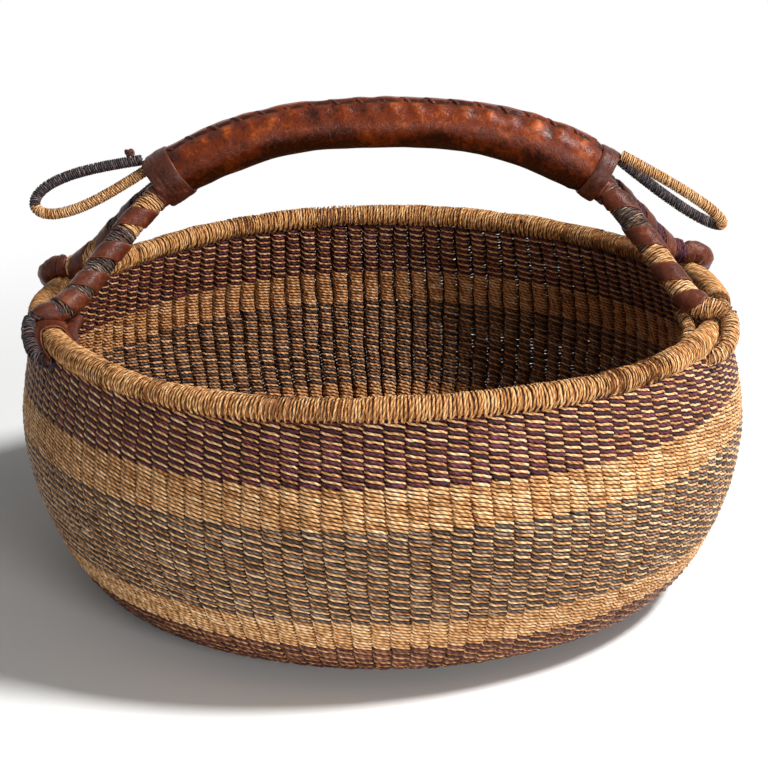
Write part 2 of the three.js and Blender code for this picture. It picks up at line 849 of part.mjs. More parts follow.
add(handle, 'grip_core', gripCore(), grass(strawColor));
add(handle, 'grip_leather', gripLeather(), leather(leatherColor));
add(handle, 'grip_lacing', gripLacing(), leather(darkLeatherColor));
for (const band of collars) {
  add(handle, `${band.name}_collar`, collar(band), leather(darkLeatherColor));
}
for (const leg of legs) {
  add(handle, `${leg.name}_leg_core`, legCore(leg), grass(strawColor));
  add(handle, `${leg.name}_leg_wrap`, legWrap(leg), grass(leg.wrap));
  add(handle, `${leg.name}_leg_strap`, legStrap(leg), leather(leatherColor));
  add(handle, `${leg.name}_eye_wrap`, eyeWrap(leg), grass(leg.eye));
}
add(handle, 'front_left_rim_strap', rimStrap(legs[0]), leather(leatherColor));
for (const loop of loops) {
  add(handle, `${loop.name}_loop_dark_limb`, loopLimb(loop, 1), grass(darkGrassColor));
  add(handle, `${loop.name}_loop_straw_limb`, loopLimb(loop, -1), grass(strawColor));
}
add(handle, 'left_loop_knot', knot(loops[0]), leather(darkLeatherColor));

console.log(`Least gap between turns of a leg strap: ${leastStrapGap.toFixed(2)} mm`);

export default basket;
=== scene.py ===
from math import cos, pi, radians, sin

import bpy
import numpy as np
from mathutils import Matrix, Vector, noise


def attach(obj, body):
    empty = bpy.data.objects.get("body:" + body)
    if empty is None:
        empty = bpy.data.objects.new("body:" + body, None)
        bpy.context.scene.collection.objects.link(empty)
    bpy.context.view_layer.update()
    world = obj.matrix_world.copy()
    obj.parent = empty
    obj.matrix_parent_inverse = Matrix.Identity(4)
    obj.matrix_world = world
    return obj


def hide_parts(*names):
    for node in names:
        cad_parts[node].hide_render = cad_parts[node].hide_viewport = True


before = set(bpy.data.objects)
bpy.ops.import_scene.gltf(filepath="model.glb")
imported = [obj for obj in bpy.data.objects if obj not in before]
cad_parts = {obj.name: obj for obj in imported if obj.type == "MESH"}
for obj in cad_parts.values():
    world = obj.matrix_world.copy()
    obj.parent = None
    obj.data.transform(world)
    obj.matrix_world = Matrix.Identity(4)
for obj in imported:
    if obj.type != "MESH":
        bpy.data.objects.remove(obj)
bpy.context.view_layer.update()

# The camera, as the photograph has it: a long lens a good metre away and a little above the rim,
# tipped down into the bowl and turned by less than a degree.
rim_height = 0.165
camera_lens = 106.5
camera_distance = 1.327
camera_side = -0.0011
camera_rise = radians(16.37)
camera_pitch = radians(18.46)
camera_roll = radians(-0.74)


def placed(name, data):
    thing = bpy.data.objects.new(name, data)
    bpy.context.scene.collection.objects.link(thing)
    return thing


camera = placed("camera", bpy.data.cameras.new("camera"))
camera.data.sensor_width = 36
camera.data.lens = camera_lens
camera.matrix_world = (
    Matrix.Translation((
        camera_side,
        -camera_distance * cos(camera_rise),
        rim_height + camera_distance * sin(camera_rise),
    ))
    @ Matrix.Rotation(pi / 2 - camera_pitch, 4, "X")
    @ Matrix.Rotation(camera_roll, 4, "Z")
)
bpy.context.scene.camera = camera
bpy.context.scene.view_settings.view_transform = "Standard"


# The studio: a pale floor, an even sky and two large soft lamps. The camera and mirrors see the
# sky as white. Node trees are written as expressions: an Expression is a socket on which Python's
# operators add Math nodes, and every other node comes from the one method of Nodes.
sky_strength = 0.17
floor_half = 6.0
# How far from the middle the floor starts to turn white, and where it is all white
floor_fades = (0.28, 0.85)
floor_color = (0.92, 0.92, 0.91, 1)
white = (1, 1, 1, 1)


class Expression:
    def __init__(self, tree, socket):
        self.tree = tree
        self.socket = socket

    def math(self, operation, *others):
        node = self.tree.nodes.new("ShaderNodeMath")
        node.operation = operation
        for place, value in enumerate((self, *others)):
            connect(self.tree, node.inputs[place], value)
        return Expression(self.tree, node.outputs[0])

    def __add__(self, other):
        return self.math("ADD", other)

    def __sub__(self, other):
        return self.math("SUBTRACT", other)

    def __rsub__(self, other):
        return self.math("MULTIPLY", -1).math("ADD", other)

    def __mul__(self, other):
        return self.math("MULTIPLY", other)

    def __truediv__(self, other):
        return self.math("DIVIDE", other)

    __radd__ = __add__
    __rmul__ = __mul__

    def cos(self):
        return self.math("COSINE")

    def sin(self):
        return (self - pi / 2).cos()

    def whole(self):
        return self.math("FLOOR")

    def above(self, least):
        return self.math("MAXIMUM", least)

    def below(self, most):
        return self.math("MINIMUM", most)

    def between(self, low, high):
        """0 below the low value and 1 above the high one, with a smooth step between them."""
        share = ((self - low) / (high - low)).above(0).below(1)
        return share * share * (3 - share * 2)

    def output(self, name):
        """Another output of the same node."""
        return Expression(self.tree, self.socket.node.outputs[name])


def connect(tree, socket, value):
    if isinstance(value, Expression):
        tree.links.new(value.socket, socket)
    else:
        socket.default_value = value


class Nodes:
    def __init__(self, tree):
        self.tree = tree

    def add(self, kind, inputs=None, output=0, **settings):
        node = self.tree.nodes.new(kind)
        for name, value in settings.items():
            setattr(node, name, value)
        for name, value in (inputs or {}).items():
            connect(self.tree, node.inputs[name], value)
        return Expression(self.tree, node.outputs[output]) if len(node.outputs) else node


def seen_straight(nodes):
    """1 on the rays that show what stands behind: the camera's, and those of metal and glass."""
    rays = nodes.add("ShaderNodeLightPath", output="Is Camera Ray")
    return rays.above(rays.output("Is Glossy Ray")).above(rays.output("Is Transmission Ray"))


def empty_material(name):
    material = bpy.data.materials.new(name)
    material.use_nodes = True
    material.node_tree.nodes.clear()
    return material, Nodes(material.node_tree)


world = bpy.data.worlds.new("sky")
bpy.context.scene.world = world
world.use_nodes = True
world.node_tree.nodes.clear()
sky = Nodes(world.node_tree)
light = sky.add("ShaderNodeBackground", {
    "Color": white, "Strength": seen_straight(sky) * (1 - sky_strength) + sky_strength,
})
sky.add("ShaderNodeOutputWorld", {"Surface": light})

floor_mesh = bpy.data.meshes.new("floor")
floor_mesh.from_pydata(
    [(x * floor_half, y * floor_half, 0) for x, y in ((-1, -1), (1, -1), (1, 1), (-1, 1))], [],
    [(0, 1, 2, 3)],
)
floor_material, ground = empty_material("floor")
ground_place = ground.add("ShaderNodeTexCoord", output="Object")
far = ground.add("ShaderNodeVectorMath", {0: ground_place}, output="Value", operation="LENGTH")
near_floor = ground.add("ShaderNodeBsdfPrincipled", {
    "Base Color": floor_color, "Roughness": 0.9, "Specular IOR Level": 0.1,
})
far_floor = ground.add("ShaderNodeEmission", {"Color": white, "Strength": 1.0})
floor_mix = ground.add("ShaderNodeMixShader", {
    0: seen_straight(ground) * far.between(*floor_fades), 1: near_floor, 2: far_floor,
})
ground.add("ShaderNodeOutputMaterial", {"Surface": floor_mix})
floor_mesh.materials.append(floor_material)
floor = placed("floor", floor_mesh)


def lamp(name, place, size, power):
    data = bpy.data.lights.new(name, "AREA")
    data.shape = "DISK"
    data.size = size
    data.energy = power
    way = Vector((0, 0, rim_height)) - Vector(place)
    turn = way.to_track_quat("-Z", "Y").to_matrix().to_4x4()
    placed(name, data).matrix_world = Matrix.Translation(place) @ turn


lamp("key_lamp", (1.12, -0.38, 1.6), 0.35, 52)
lamp("front_lamp", (0.8, -1.8, 0.4), 0.8, 25)


# The weave: rows of twisted elephant grass, straw and dyed, twined round upright stakes.
# Each row is a pair of strands. One passes in front of a stake while the other passes behind it,
# and between two stakes they cross in the middle of the wall and change places.
millimetre = 0.001
stakes = 120
first_stake_turn = 44 / 120
wall_depth = 0.009
strand_sides = 5
# A strand's radius, and how far it climbs where it changes sides, as shares of the rows' pitch
strand_share = 0.515
slant_share = 0.71
strand_lag = radians(24)
drawn_out = 0.0026
# The outline of the wall's outside, as Bezier curves from the middle of the base to the rim
base_curve = ((0.0, 0.0), (0.04, 0.0), (0.08, 0.0), (0.1133, 0.0))
heel_curve = ((0.1133, 0.0), (0.1247, 0.0), (0.1648, 0.0066), (0.1718, 0.0108))
belly_curve = ((0.1718, 0.0108), (0.191, 0.0222), (0.2108, 0.068), (0.2108, 0.104))
shoulder_curve = ((0.2108, 0.104), (0.2108, 0.118), (0.2045, 0.143), (0.2007, 0.159))
rim_curve = ((0.2007, 0.159), (0.2004, 0.1602), (0.2001, 0.1614), (0.1998, 0.1626))
curve_steps = 24


def bezier(corners, steps):
    share = np.linspace(0, 1, steps + 1)[:, None]
    a, b, c, d = (np.array(corner) for corner in corners)
    rest = 1 - share
    return rest**3 * a + 3 * rest**2 * share * b + 3 * rest * share**2 * c + share**3 * d


outline = np.vstack([
    bezier(curve, curve_steps)[(0 if curve is base_curve else 1):]
    for curve in (base_curve, heel_curve, belly_curve, shoulder_curve, rim_curve)
])
outline_lengths = np.concatenate([[0], np.cumsum(np.hypot(*np.diff(outline, axis=0).T))])


def length_at_height(height):
    return float(np.interp(height, outline[curve_steps:, 1], outline_lengths[curve_steps:]))


def line_object(name, points, closed=False):
    mesh = bpy.data.meshes.new(name)
    edges = [(i, i + 1) for i in range(len(points) - 1)]
    if closed:
        edges.append((len(points) - 1, 0))
    mesh.from_pydata([tuple(point) for point in points], edges, [])
    return placed(name, mesh)


def growing_tree(name, inputs):
    """A Geometry Nodes tree with these inputs by kind, and the inputs as expressions by name."""
    tree = bpy.data.node_groups.new(name, "GeometryNodeTree")
    tree.interface.new_socket("Geometry", in_out="OUTPUT", socket_type="NodeSocketGeometry")
    tree.interface.new_socket("Geometry", in_out="INPUT", socket_type="NodeSocketGeometry")
    for kind, labels in inputs.items():
        for label in labels:
            tree.interface.new_socket(label, in_out="INPUT", socket_type="NodeSocket" + kind)
    given = tree.nodes.new("NodeGroupInput")
    return Nodes(tree), {socket.name: Expression(tree, socket) for socket in given.outputs if socket.name}


def end_tree(nodes, mesh, *finishes):
    """Make the instances real, give each material to its faces and hand the mesh out."""
    mesh = nodes.add("GeometryNodeRealizeInstances", {"Geometry": mesh})
    for material, faces in finishes:
        mesh = nodes.add("GeometryNodeSetMaterial",
                         {"Geometry": mesh, "Selection": faces, "Material": material})
    connect(nodes.tree, nodes.tree.nodes.new("NodeGroupOutput").inputs["Geometry"], mesh)


def grow(name, nodes, source, values):
    """Run a tree on a line and keep what it makes as a plain mesh."""
    modifier = source.modifiers.new(name, "NODES")
    modifier.node_group = nodes.tree
    for item in nodes.tree.interface.items_tree:
        if item.in_out == "INPUT" and item.name in values:
            modifier[item.identifier] = values[item.name]
    bpy.context.view_layer.update()
    evaluated = source.evaluated_get(bpy.context.evaluated_depsgraph_get())
    mesh = bpy.data.meshes.new_from_object(evaluated)
    source.modifiers.remove(modifier)
    return placed(name, mesh)


def vector(nodes, x=0.0, y=0.0, z=0.0):
    return nodes.add("ShaderNodeCombineXYZ", {"X": x, "Y": y, "Z": z})


def part(nodes, whole, axis):
    return nodes.add("ShaderNodeSeparateXYZ", {"Vector": whole}, output=axis)


def scaled(nodes, arrow, factor):
    return nodes.add("ShaderNodeVectorMath", {0: arrow, "Scale": factor}, operation="SCALE")


def noise_at(nodes, place, scale=1.0, detail=2.0, **others):
    return nodes.add("ShaderNodeTexNoise", {"Vector": place, "Scale": scale, "Detail": detail, **others},
                     output="Fac")


def stored(nodes, geometry, name, value, kind="FLOAT"):
    """Keep a value at each point under a name."""
    return nodes.add("GeometryNodeStoreNamedAttribute", {"Geometry": geometry, "Name": name, "Value": value},
                     data_type=kind, domain="POINT")


def named(nodes, name, kind="FLOAT"):
    return nodes.add("GeometryNodeInputNamedAttribute", {"Name": name}, data_type=kind)


def copies(nodes, points, line, **others):
    spread = nodes.add("GeometryNodeInstanceOnPoints", {"Points": points, "Instance": line, **others})
    return nodes.add("GeometryNodeRealizeInstances", {"Geometry": spread})


def numbered_lines(nodes, name, count, first, steps):
    """Lines of equal steps, and the number of each, which counts from the first one given."""
    points = nodes.add("GeometryNodePoints", {"Count": count})
    points = stored(nodes, points, name, nodes.add("GeometryNodeInputIndex") + first)
    line = nodes.add("GeometryNodeCurvePrimitiveLine", mode="POINTS")
    line = nodes.add("GeometryNodeResampleCurve", {"Curve": line, "Count": steps + 1}, mode="COUNT")
    return copies(nodes, points, line), named(nodes, name)


def strand_mesh(nodes, curve, radius, outward, sides=strand_sides):
    """Give lines their round strand, and keep how far along it and which way round it a point lies."""
    curve = stored(nodes, curve, "along", nodes.add("GeometryNodeSplineParameter", output="Length"))
    curve = nodes.add("GeometryNodeSetCurveNormal", {"Curve": curve, "Normal": outward}, mode="FREE")
    ring = nodes.add("GeometryNodeCurvePrimitiveCircle", {"Resolution": sides, "Radius": 1.0}, mode="RADIUS")
    ring = stored(nodes, ring, "section", nodes.add("GeometryNodeInputPosition"), "FLOAT_VECTOR")
    return nodes.add(
        "GeometryNodeCurveToMesh", {"Curve": curve, "Profile Curve": ring, "Scale": radius, "Fill Caps": True}
    )


def sampled(nodes, curve, length, name=None, kind="FLOAT"):
    """What a line has at a length along it: its place, or the value kept there under a name."""
    inputs = {"Curves": curve, "Length": length}
    if name:
        inputs["Value"] = named(nodes, name, kind)
    return nodes.add("GeometryNodeSampleCurve", inputs, output="Value" if name else "Position",
                     mode="LENGTH", use_all_curves=True, data_type=kind)


def hand_noise(nodes, across, up, seed):
    """How far the hand strayed at a place: about -1 to 1."""
    place = vector(nodes, part(nodes, across, "X") + seed, part(nodes, across, "Y"), up)
    return (noise_at(nodes, place, detail=1.0) - 0.5) * 3.2


rows_tree, size = growing_tree("twined_rows", {
    "Int": ("Rows", "First Row", "Stakes", "Steps"),
    "Float": ("First Length", "Row Pitch", "Strand Radius", "Wall Depth", "Twist", "Lag", "Drawn Out",
              "Dyed"),
    "Material": ("Straw", "Dyed Grass"),
})
wall_line = rows_tree.add("GeometryNodeMeshToCurve", {"Mesh": size["Geometry"]})
pairs, strand = numbered_lines(
    rows_tree, "strand", size["Rows"] * 2, size["First Row"] * 2, size["Stakes"] * size["Steps"]
)
row = (strand / 2).whole()
ply = strand - row * 2
even_place = rows_tree.add("GeometryNodeSplineParameter", output="Factor") * size["Stakes"] + 0.5
# More of a line's points stand where it changes sides
stake_place = even_place + (even_place * (2 * pi) - pi / 2 - size["Lag"] * 2).cos() * 0.09
turn = ((stake_place - 0.5) / size["Stakes"] + first_stake_turn) * (2 * pi)
round_way = vector(rows_tree, turn.cos(), turn.sin())
# A strand stays in front a little past the gap, over the one that comes out from behind it
late = (stake_place + ply) * pi - size["Lag"]
front = ((late.cos() * 1.8).above(-1).below(1) * (pi / 2)).sin()
fall = ((late + pi / 2).cos() * 0.985).math("ARCSINE") / 1.397
slant = fall * 0.36 + fall * fall * fall * 0.64
thick = 0.95 + (late * 2).cos() * 0.12
wide_stray = hand_noise(rows_tree, scaled(rows_tree, round_way, 3.0), row * 0.05, 11.0)
stake_stray = hand_noise(rows_tree, scaled(rows_tree, round_way, 19.0), row * 0.11, 23.0)
grain_stray = hand_noise(rows_tree, scaled(rows_tree, round_way, 60.0), strand * 1.7, 37.0)
row_length = (
    size["First Length"] + (row - size["First Row"] + 0.5) * size["Row Pitch"]
    + (wide_stray * 0.35 + grain_stray * 0.2) * millimetre
)
middle = sampled(rows_tree, wall_line, row_length)
upward = middle.output("Tangent")
middle_x, middle_z = part(rows_tree, middle, "X"), part(rows_tree, middle, "Z")
way_x, way_z = part(rows_tree, upward, "X"), part(rows_tree, upward, "Z")
# The strands are drawn tight on the outside, so they cross nearer to it and the grooves are deep inside
crossing = 1 - front.math("ABSOLUTE")
out = (
    front * (size["Wall Depth"] / 2 - size["Strand Radius"]) * (1 + grain_stray * 0.08)
    - size["Wall Depth"] / 2 + wide_stray * 0.0004 + crossing * size["Drawn Out"]
)
rise = slant * size["Twist"]
radius = middle_x + way_z * out + way_x * rise
height = (middle_z - way_x * out + way_z * rise).above(size["Strand Radius"] * 1.25)
swayed = turn + (wide_stray * 1.2 + stake_stray * 1.1 + grain_stray * 0.55) * millimetre / middle_x
# The grass material paints shade from these two: in the grooves of the wall, and on the parts of the strands
# inside it
pairs = stored(rows_tree, pairs, "sunk", crossing)
pairs = stored(rows_tree, pairs, "inside", front * -1)
pairs = rows_tree.add("GeometryNodeSetPosition", {
    "Geometry": pairs,
    "Position": vector(rows_tree, swayed.cos() * radius, swayed.sin() * radius, height),
})
every_other = (row / 2 - (row / 2).whole()) * 2
fuller = 1 + size["Dyed"] * (0.08 - every_other * 0.2)
weave = strand_mesh(
    rows_tree, pairs, size["Strand Radius"] * thick * fuller * (1 + grain_stray * 0.16),
    vector(rows_tree, swayed.cos() * way_z, swayed.sin() * way_z, way_x * -1),
)
dyed_faces = (size["Dyed"] * (1 - every_other)).math("GREATER_THAN", 0.5)
end_tree(rows_tree, weave, (size["Straw"], True), (size["Dyed Grass"], dyed_faces))


# The grass: dried, rubbed soft and twisted by hand, plain or dyed. Each strand has its own tone, with
# fine streaks along it. Its two plies go once round each other in the length given in millimetres.
ply_length = 4.2
# The warm brown that paints shade on the inside of the wall
inner_shade_tint = (0.78, 0.47, 0.30)


def attribute(nodes, name, output="Fac"):
    return nodes.add("ShaderNodeAttribute", output=output, attribute_name=name)


def mixed(nodes, share, first, second, way="MIX"):
    """Mix two colors, each of them three numbers or an expression."""
    first, second = (color if isinstance(color, Expression) else (*color, 1) for color in (first, second))
    return nodes.add("ShaderNodeMix", {"Factor": share, 6: first, 7: second}, output=2, data_type="RGBA",
                     blend_type=way)


def covered(nodes, color, roughness, shine, relief, strength, depth):
    """End a material with a surface of this color, with a relief pressed into it."""
    bump = nodes.add("ShaderNodeBump", {"Height": relief, "Strength": strength, "Distance": depth})
    surface = nodes.add("ShaderNodeBsdfPrincipled", {
        "Base Color": color, "Roughness": roughness, "Specular IOR Level": shine, "Normal": bump,
    })
    nodes.add("ShaderNodeOutputMaterial", {"Surface": surface})


# The first color is painted shade, laid between strands, in the grooves of the wall and in the valleys of the
# plies
def grass(name, shade_color, dark, plain, pale, roughness=0.5):
    material, nodes = empty_material(name)
    along = attribute(nodes, "along") * 1000
    own = attribute(nodes, "strand")
    section = attribute(nodes, "section", "Vector")
    side, top = part(nodes, section, "X"), part(nodes, section, "Y")
    blade = noise_at(nodes, vector(nodes, along * 0.06, own * 3.71, own * 0.37))
    streaks = noise_at(nodes, vector(nodes, along * 0.22 + own * 9.13, side * 1.9, top * 1.9), 1.6, 3.0,
                       Roughness=0.6)
    twist = along * (2 * pi / ply_length) + own * 1.3
    ply_ridge = (side * side - top * top) * twist.cos() + side * top * 2 * twist.sin()
    # The plies' ridges add a painted highlight to the tone, and their valleys painted shade
    tone = (blade - 0.5) * 2.2 + (streaks - 0.5) * 2.0 + ply_ridge * 0.22 + 0.5
    color = mixed(nodes, tone.between(0.0, 0.5), dark, plain)
    color = mixed(nodes, tone.between(0.5, 1.05), color, pale)
    # Painted shade: darker on the sides that touch the next strand, and where a strand dips into the wall,
    # most on its inner side
    contact_shade = top.math("ABSOLUTE").between(0.34, 0.93) * 0.88
    sunk = attribute(nodes, "sunk").between(0.1, 0.85) * (0.42 - side * 0.5).above(0)
    color = mixed(nodes, contact_shade.above(sunk), color, shade_color)
    # Painted shade: the parts of the strands inside the wall are darkened with a warm brown
    inner_shade = attribute(nodes, "inside").between(-0.2, 0.6) * 0.4
    color = mixed(nodes, inner_shade, color, inner_shade_tint, "MULTIPLY")
    # Painted shade in the valleys between the two plies
    color = mixed(nodes, (ply_ridge * -1).between(0.0, 1.0) * 0.35, color, shade_color)
    covered(nodes, color, roughness + (streaks - 0.5) * 0.3, 0.18, ply_ridge * 0.5 + streaks * 0.9,
            strength=0.9, depth=0.0006)
    return material


straw = grass("straw", (0.05, 0.015, 0.004), (0.29, 0.115, 0.036), (0.70, 0.36, 0.14), (0.93, 0.65, 0.37))
# A darker copy of the straw, which paints shade: on the heel and foot, which face the floor, and on cores
# seen only in the gaps of their windings
shaded_straw = grass("shaded_straw", (0.03, 0.009, 0.003), (0.15, 0.055, 0.020), (0.38, 0.165, 0.062),
                    (0.66, 0.36, 0.16))
purple_grass = grass("purple_grass", (0.007, 0.002, 0.003), (0.020, 0.005, 0.008), (0.060, 0.011, 0.019),
                     (0.18, 0.045, 0.065), 0.42)
grey_grass = grass("grey_grass", (0.010, 0.006, 0.005), (0.026, 0.017, 0.015), (0.10, 0.064, 0.052),
                   (0.38, 0.27, 0.20), 0.45)
russet_grass = grass("russet_grass", (0.010, 0.004, 0.003), (0.030, 0.010, 0.008), (0.085, 0.026, 0.020),
                     (0.24, 0.090, 0.055), 0.45)


def finished(piece, slot, *nodes):
    piece.data.shade_smooth()
    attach(piece, "root")
    if nodes:
        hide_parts(*nodes)


# The bowl was pulled out of true as it was woven: its mouth stands a little to the left and its
# rim rises and falls.
mouth_lean = 0.003
rim_radius = 0.196
# How many crests each wave of the rim has, how high they are and at how many degrees one stands
rim_waves = ((2, 0.0006, 132), (3, 0.0013, -100), (4, 0.0013, 45), (5, 0.0005, -75))


def rim_wave(azimuth):
    return sum(rise * np.cos(crests * azimuth - radians(start)) for crests, rise, start in rim_waves)


def pull_out_of_true(piece):
    places = np.empty(len(piece.data.vertices) * 3)
    piece.data.vertices.foreach_get("co", places)
    x, y, z = places.reshape(-1, 3).T
    share = np.clip(z / rim_height, 0, None)
    wave = rim_wave(np.arctan2(y, x)) * share**1.5 * np.minimum(np.hypot(x, y) / rim_radius, 1)
    moved = np.column_stack([x - mouth_lean * share, y, z + wave])
    piece.data.vertices.foreach_set("co", moved.ravel())
    piece.data.update()
    return piece


# The bands of the base and the wall, one after the other from the middle of the base to the rim.
# In a dyed band a row of dyed grass and a row of straw take turns.
rows_high = {"foot": 0.0079, "lower_straw": 0.030, "grey": 0.049, "middle_straw": 0.1044, "purple": 0.1277,
             "rim": 0.1612}
heights = {name: length_at_height(height) for name, height in rows_high.items()}
heel_start = float(outline_lengths[curve_steps])
outline_object = line_object("wall_outline", [(x, 0, z) for x, z in outline])
row_numbers_apart = 40
bands_woven = []


def weave_band(name, start, end, rows, pieces, dyed=None, slot="straw_grass", stakes=stakes, steps=6,
               fuller=1.0, plain=straw, nodes=None):
    """Twine a band of rows between two lengths up the outline, in a few pieces of like height."""
    if nodes is None:
        nodes = (f"outer_{name}_band", f"inner_{name}_band")
    pitch = (end - start) / rows
    first = 0
    for number in range(pieces):
        count = round(rows * (number + 1) / pieces) - first
        piece = grow(f"{name}_rows" + (f"_{number + 1}" if pieces > 1 else ""), rows_tree, outline_object, {
            "First Length": start + first * pitch,
            "Row Pitch": pitch,
            "Rows": count,
            "First Row": len(bands_woven) * row_numbers_apart + first,
            "Stakes": stakes,
            "Steps": steps,
            "Strand Radius": pitch * strand_share,
            "Wall Depth": wall_depth,
            "Twist": pitch * slant_share,
            "Lag": strand_lag,
            "Drawn Out": 0.0 if end <= heel_start else drawn_out,
            "Dyed": fuller if dyed else 0.0,
            "Straw": plain,
            "Dyed Grass": dyed or plain,
        })
        finished(pull_out_of_true(piece), slot, *nodes)
        first += count
    bands_woven.append(name)


weave_band("hub", 0.002, 0.0125, 5, 1, stakes=12, steps=4, nodes=("base_underside", "base_inside"))
weave_band("inner_base", 0.0125, 0.036, 11, 1, stakes=24, steps=4, nodes=())
weave_band("middle_base", 0.036, 0.0745, 18, 1, stakes=60, steps=4, nodes=())
weave_band("outer_base", 0.0745, heel_start, 16, 1, steps=4, nodes=())
weave_band("heel", heel_start, heights["foot"], 26, 2, russet_grass, "russet_grass", steps=4, fuller=1.2,
           plain=shaded_straw)
weave_band("foot", heights["foot"], heights["lower_straw"], 13, 1, russet_grass, "russet_grass", steps=5,
           fuller=1.2, plain=shaded_straw)
weave_band("lower_straw", heights["lower_straw"], heights["grey"], 9, 1)
weave_band("grey", heights["grey"], heights["middle_straw"], 27, 3, grey_grass, "grey_grass", fuller=0.6)
weave_band("middle_straw", heights["middle_straw"], heights["purple"], 11, 1)
weave_band("purple", heights["purple"], heights["rim"], 17, 2, purple_grass, "purple_grass", fuller=0.9)
bpy.data.objects.remove(outline_object)


# The stakes: round straws that start in the base, more of them towards its edge, and turn up to
# the rim in the middle of the wall, between the rows.
stake_radius = 0.0017
stake_sides = 6
# Where each set of stakes begins and ends along the outline, and how many stakes it has
stake_rings = (
    ("inner_stakes", 0.008, 0.036, 24), ("middle_stakes", 0.036, 0.0745, 60),
    ("wall_stakes", 0.0745, 1.0, stakes),
)
stakes_tree, size = growing_tree("stakes", {"Int": ["Count"], "Float": ["Radius"], "Material": ["Straw"]})
stake_number = stakes_tree.add("GeometryNodeInputIndex")
all_stakes = copies(
    stakes_tree, stakes_tree.add("GeometryNodePoints", {"Count": size["Count"]}),
    stakes_tree.add("GeometryNodeMeshToCurve", {"Mesh": size["Geometry"]}),
    Rotation=vector(stakes_tree, z=(stake_number + 0.5) / size["Count"] * (2 * pi)),
)
all_stakes = strand_mesh(stakes_tree, all_stakes, size["Radius"], (0.0, 1.0, 0.0), stake_sides)
end_tree(stakes_tree, all_stakes, (size["Straw"], True))

inward = np.gradient(outline, axis=0)
inward = np.column_stack([-inward[:, 1], inward[:, 0]]) / np.hypot(*inward.T)[:, None]
wall_middle = outline + inward * wall_depth / 2
for name, first, last, count in stake_rings:
    lengths = np.unique(np.append(outline_lengths[::2], [first, min(last, outline_lengths[-1])]))
    lengths = lengths[(lengths >= first) & (lengths <= last)]
    points = [
        (np.interp(length, outline_lengths, wall_middle[:, 0]), 0,
         np.interp(length, outline_lengths, wall_middle[:, 1]))
        for length in lengths
    ]
    stake_source = line_object("stake_line", points)
    piece = grow(name, stakes_tree, stake_source, {"Count": count, "Radius": stake_radius, "Straw": straw})
    bpy.data.objects.remove(stake_source)
    finished(pull_out_of_true(piece), "straw_grass", *(["stakes"] if name == "wall_stakes" else []))


# The rim: the turned-down ends of the stakes make a round core, and two straws are wound over it side
# by side, some seven hundred turns in all. Two neighbours go through the same gap of the top row, so
# they draw together below the rim.
rim_core_radius = 0.0056
rim_core_sides = 12
rim_lump_height = 0.0006
rim_strand_radius = 0.0009
rim_strands = 2
rim_turns = 716
rim_points = 480
rim_straw = grass("rim_straw", (0.035, 0.010, 0.003), (0.23, 0.085, 0.022), (0.58, 0.265, 0.082),
                  (0.90, 0.58, 0.28))


def path_object(path, girths, closed=False):
    line = line_object("path", path["points"], closed)
    for name, values in (("side", path["sides"]), ("lift", path["lifts"])):
        line.data.attributes.new(name, "FLOAT_VECTOR", "POINT").data.foreach_set("vector", values.ravel())
    girth = np.broadcast_to(girths, len(path["points"])).astype(float)
    line.data.attributes.new("girth", "FLOAT", "POINT").data.foreach_set("value", girth)
    return line


def added(nodes, first, second):
    return nodes.add("ShaderNodeVectorMath", {0: first, 1: second}, operation="ADD")


wound_tree, size = growing_tree("wound_strand", {
    "Int": ("Strands", "Steps"),
    "Float": ("From", "To", "Turns", "Strand Radius", "Hand", "Pairing", "Stray", "Strand"),
    "Material": ["Grass"],
})
path_curve = wound_tree.add("GeometryNodeMeshToCurve", {"Mesh": size["Geometry"]})
wound, ply = numbered_lines(wound_tree, "ply", size["Strands"], 0, size["Turns"] * size["Steps"])
share = wound_tree.add("GeometryNodeSplineParameter", output="Factor")
turn = share * size["Turns"]
angle = (turn + ply / size["Strands"]) * size["Hand"] * (2 * pi)
pitch = (size["To"] - size["From"]) / (size["Turns"] * size["Strands"])
pair_side = (ply / 2 - (ply / 2).whole()) * 4 - 1
under = (angle + pi / 2).cos().above(0)
loose = noise_at(wound_tree, vector(
    wound_tree, turn * size["Strands"] * 0.3 + size["Strand"], angle.cos() * 0.7, angle.sin() * 0.7,
)) - 0.5
finer = noise_at(wound_tree, vector(wound_tree, turn * 2.3, size["Strand"] + 5, ply * 1.7), detail=1.0) - 0.5
length = (
    size["From"] + (size["To"] - size["From"]) * share
    + pitch * size["Pairing"] * pair_side * under
    + pitch * size["Stray"] * (loose * 6 + finer * 10)
)
side = sampled(wound_tree, path_curve, length, "side", "FLOAT_VECTOR")
lift = sampled(wound_tree, path_curve, length, "lift", "FLOAT_VECTOR")
way = added(wound_tree, scaled(wound_tree, side, angle.cos()), scaled(wound_tree, lift, angle.sin()))
reach = (
    sampled(wound_tree, path_curve, length, "girth")
    + size["Strand Radius"] * (0.92 + loose * size["Stray"] * 0.5)
)
place = added(wound_tree, sampled(wound_tree, path_curve, length), scaled(wound_tree, way, reach))
wound = wound_tree.add("GeometryNodeSetPosition", {"Geometry": wound, "Position": place})
wound = strand_mesh(wound_tree, wound, size["Strand Radius"] * (1 + finer * 0.45), way)
wound = stored(wound_tree, wound, "strand", size["Strand"] + ply * 0.31)
end_tree(wound_tree, wound, (size["Grass"], True))


def wind(name, path, girths, material, start, end, turns, radius, strands, steps=14, hand=1.0,
         pairing=0.0, stray=0.25, strand=0.0, closed=False):
    """Wind a few strands side by side round a path, which lie over it the given number of turns in all."""
    line = path_object(path, girths, closed)
    piece = grow(name, wound_tree, line, {
        "From": start, "To": end, "Turns": turns / strands, "Steps": steps, "Strand Radius": radius,
        "Hand": float(hand), "Strands": strands, "Pairing": pairing, "Stray": stray,
        "Strand": strand, "Grass": material,
    })
    bpy.data.objects.remove(line)
    return piece


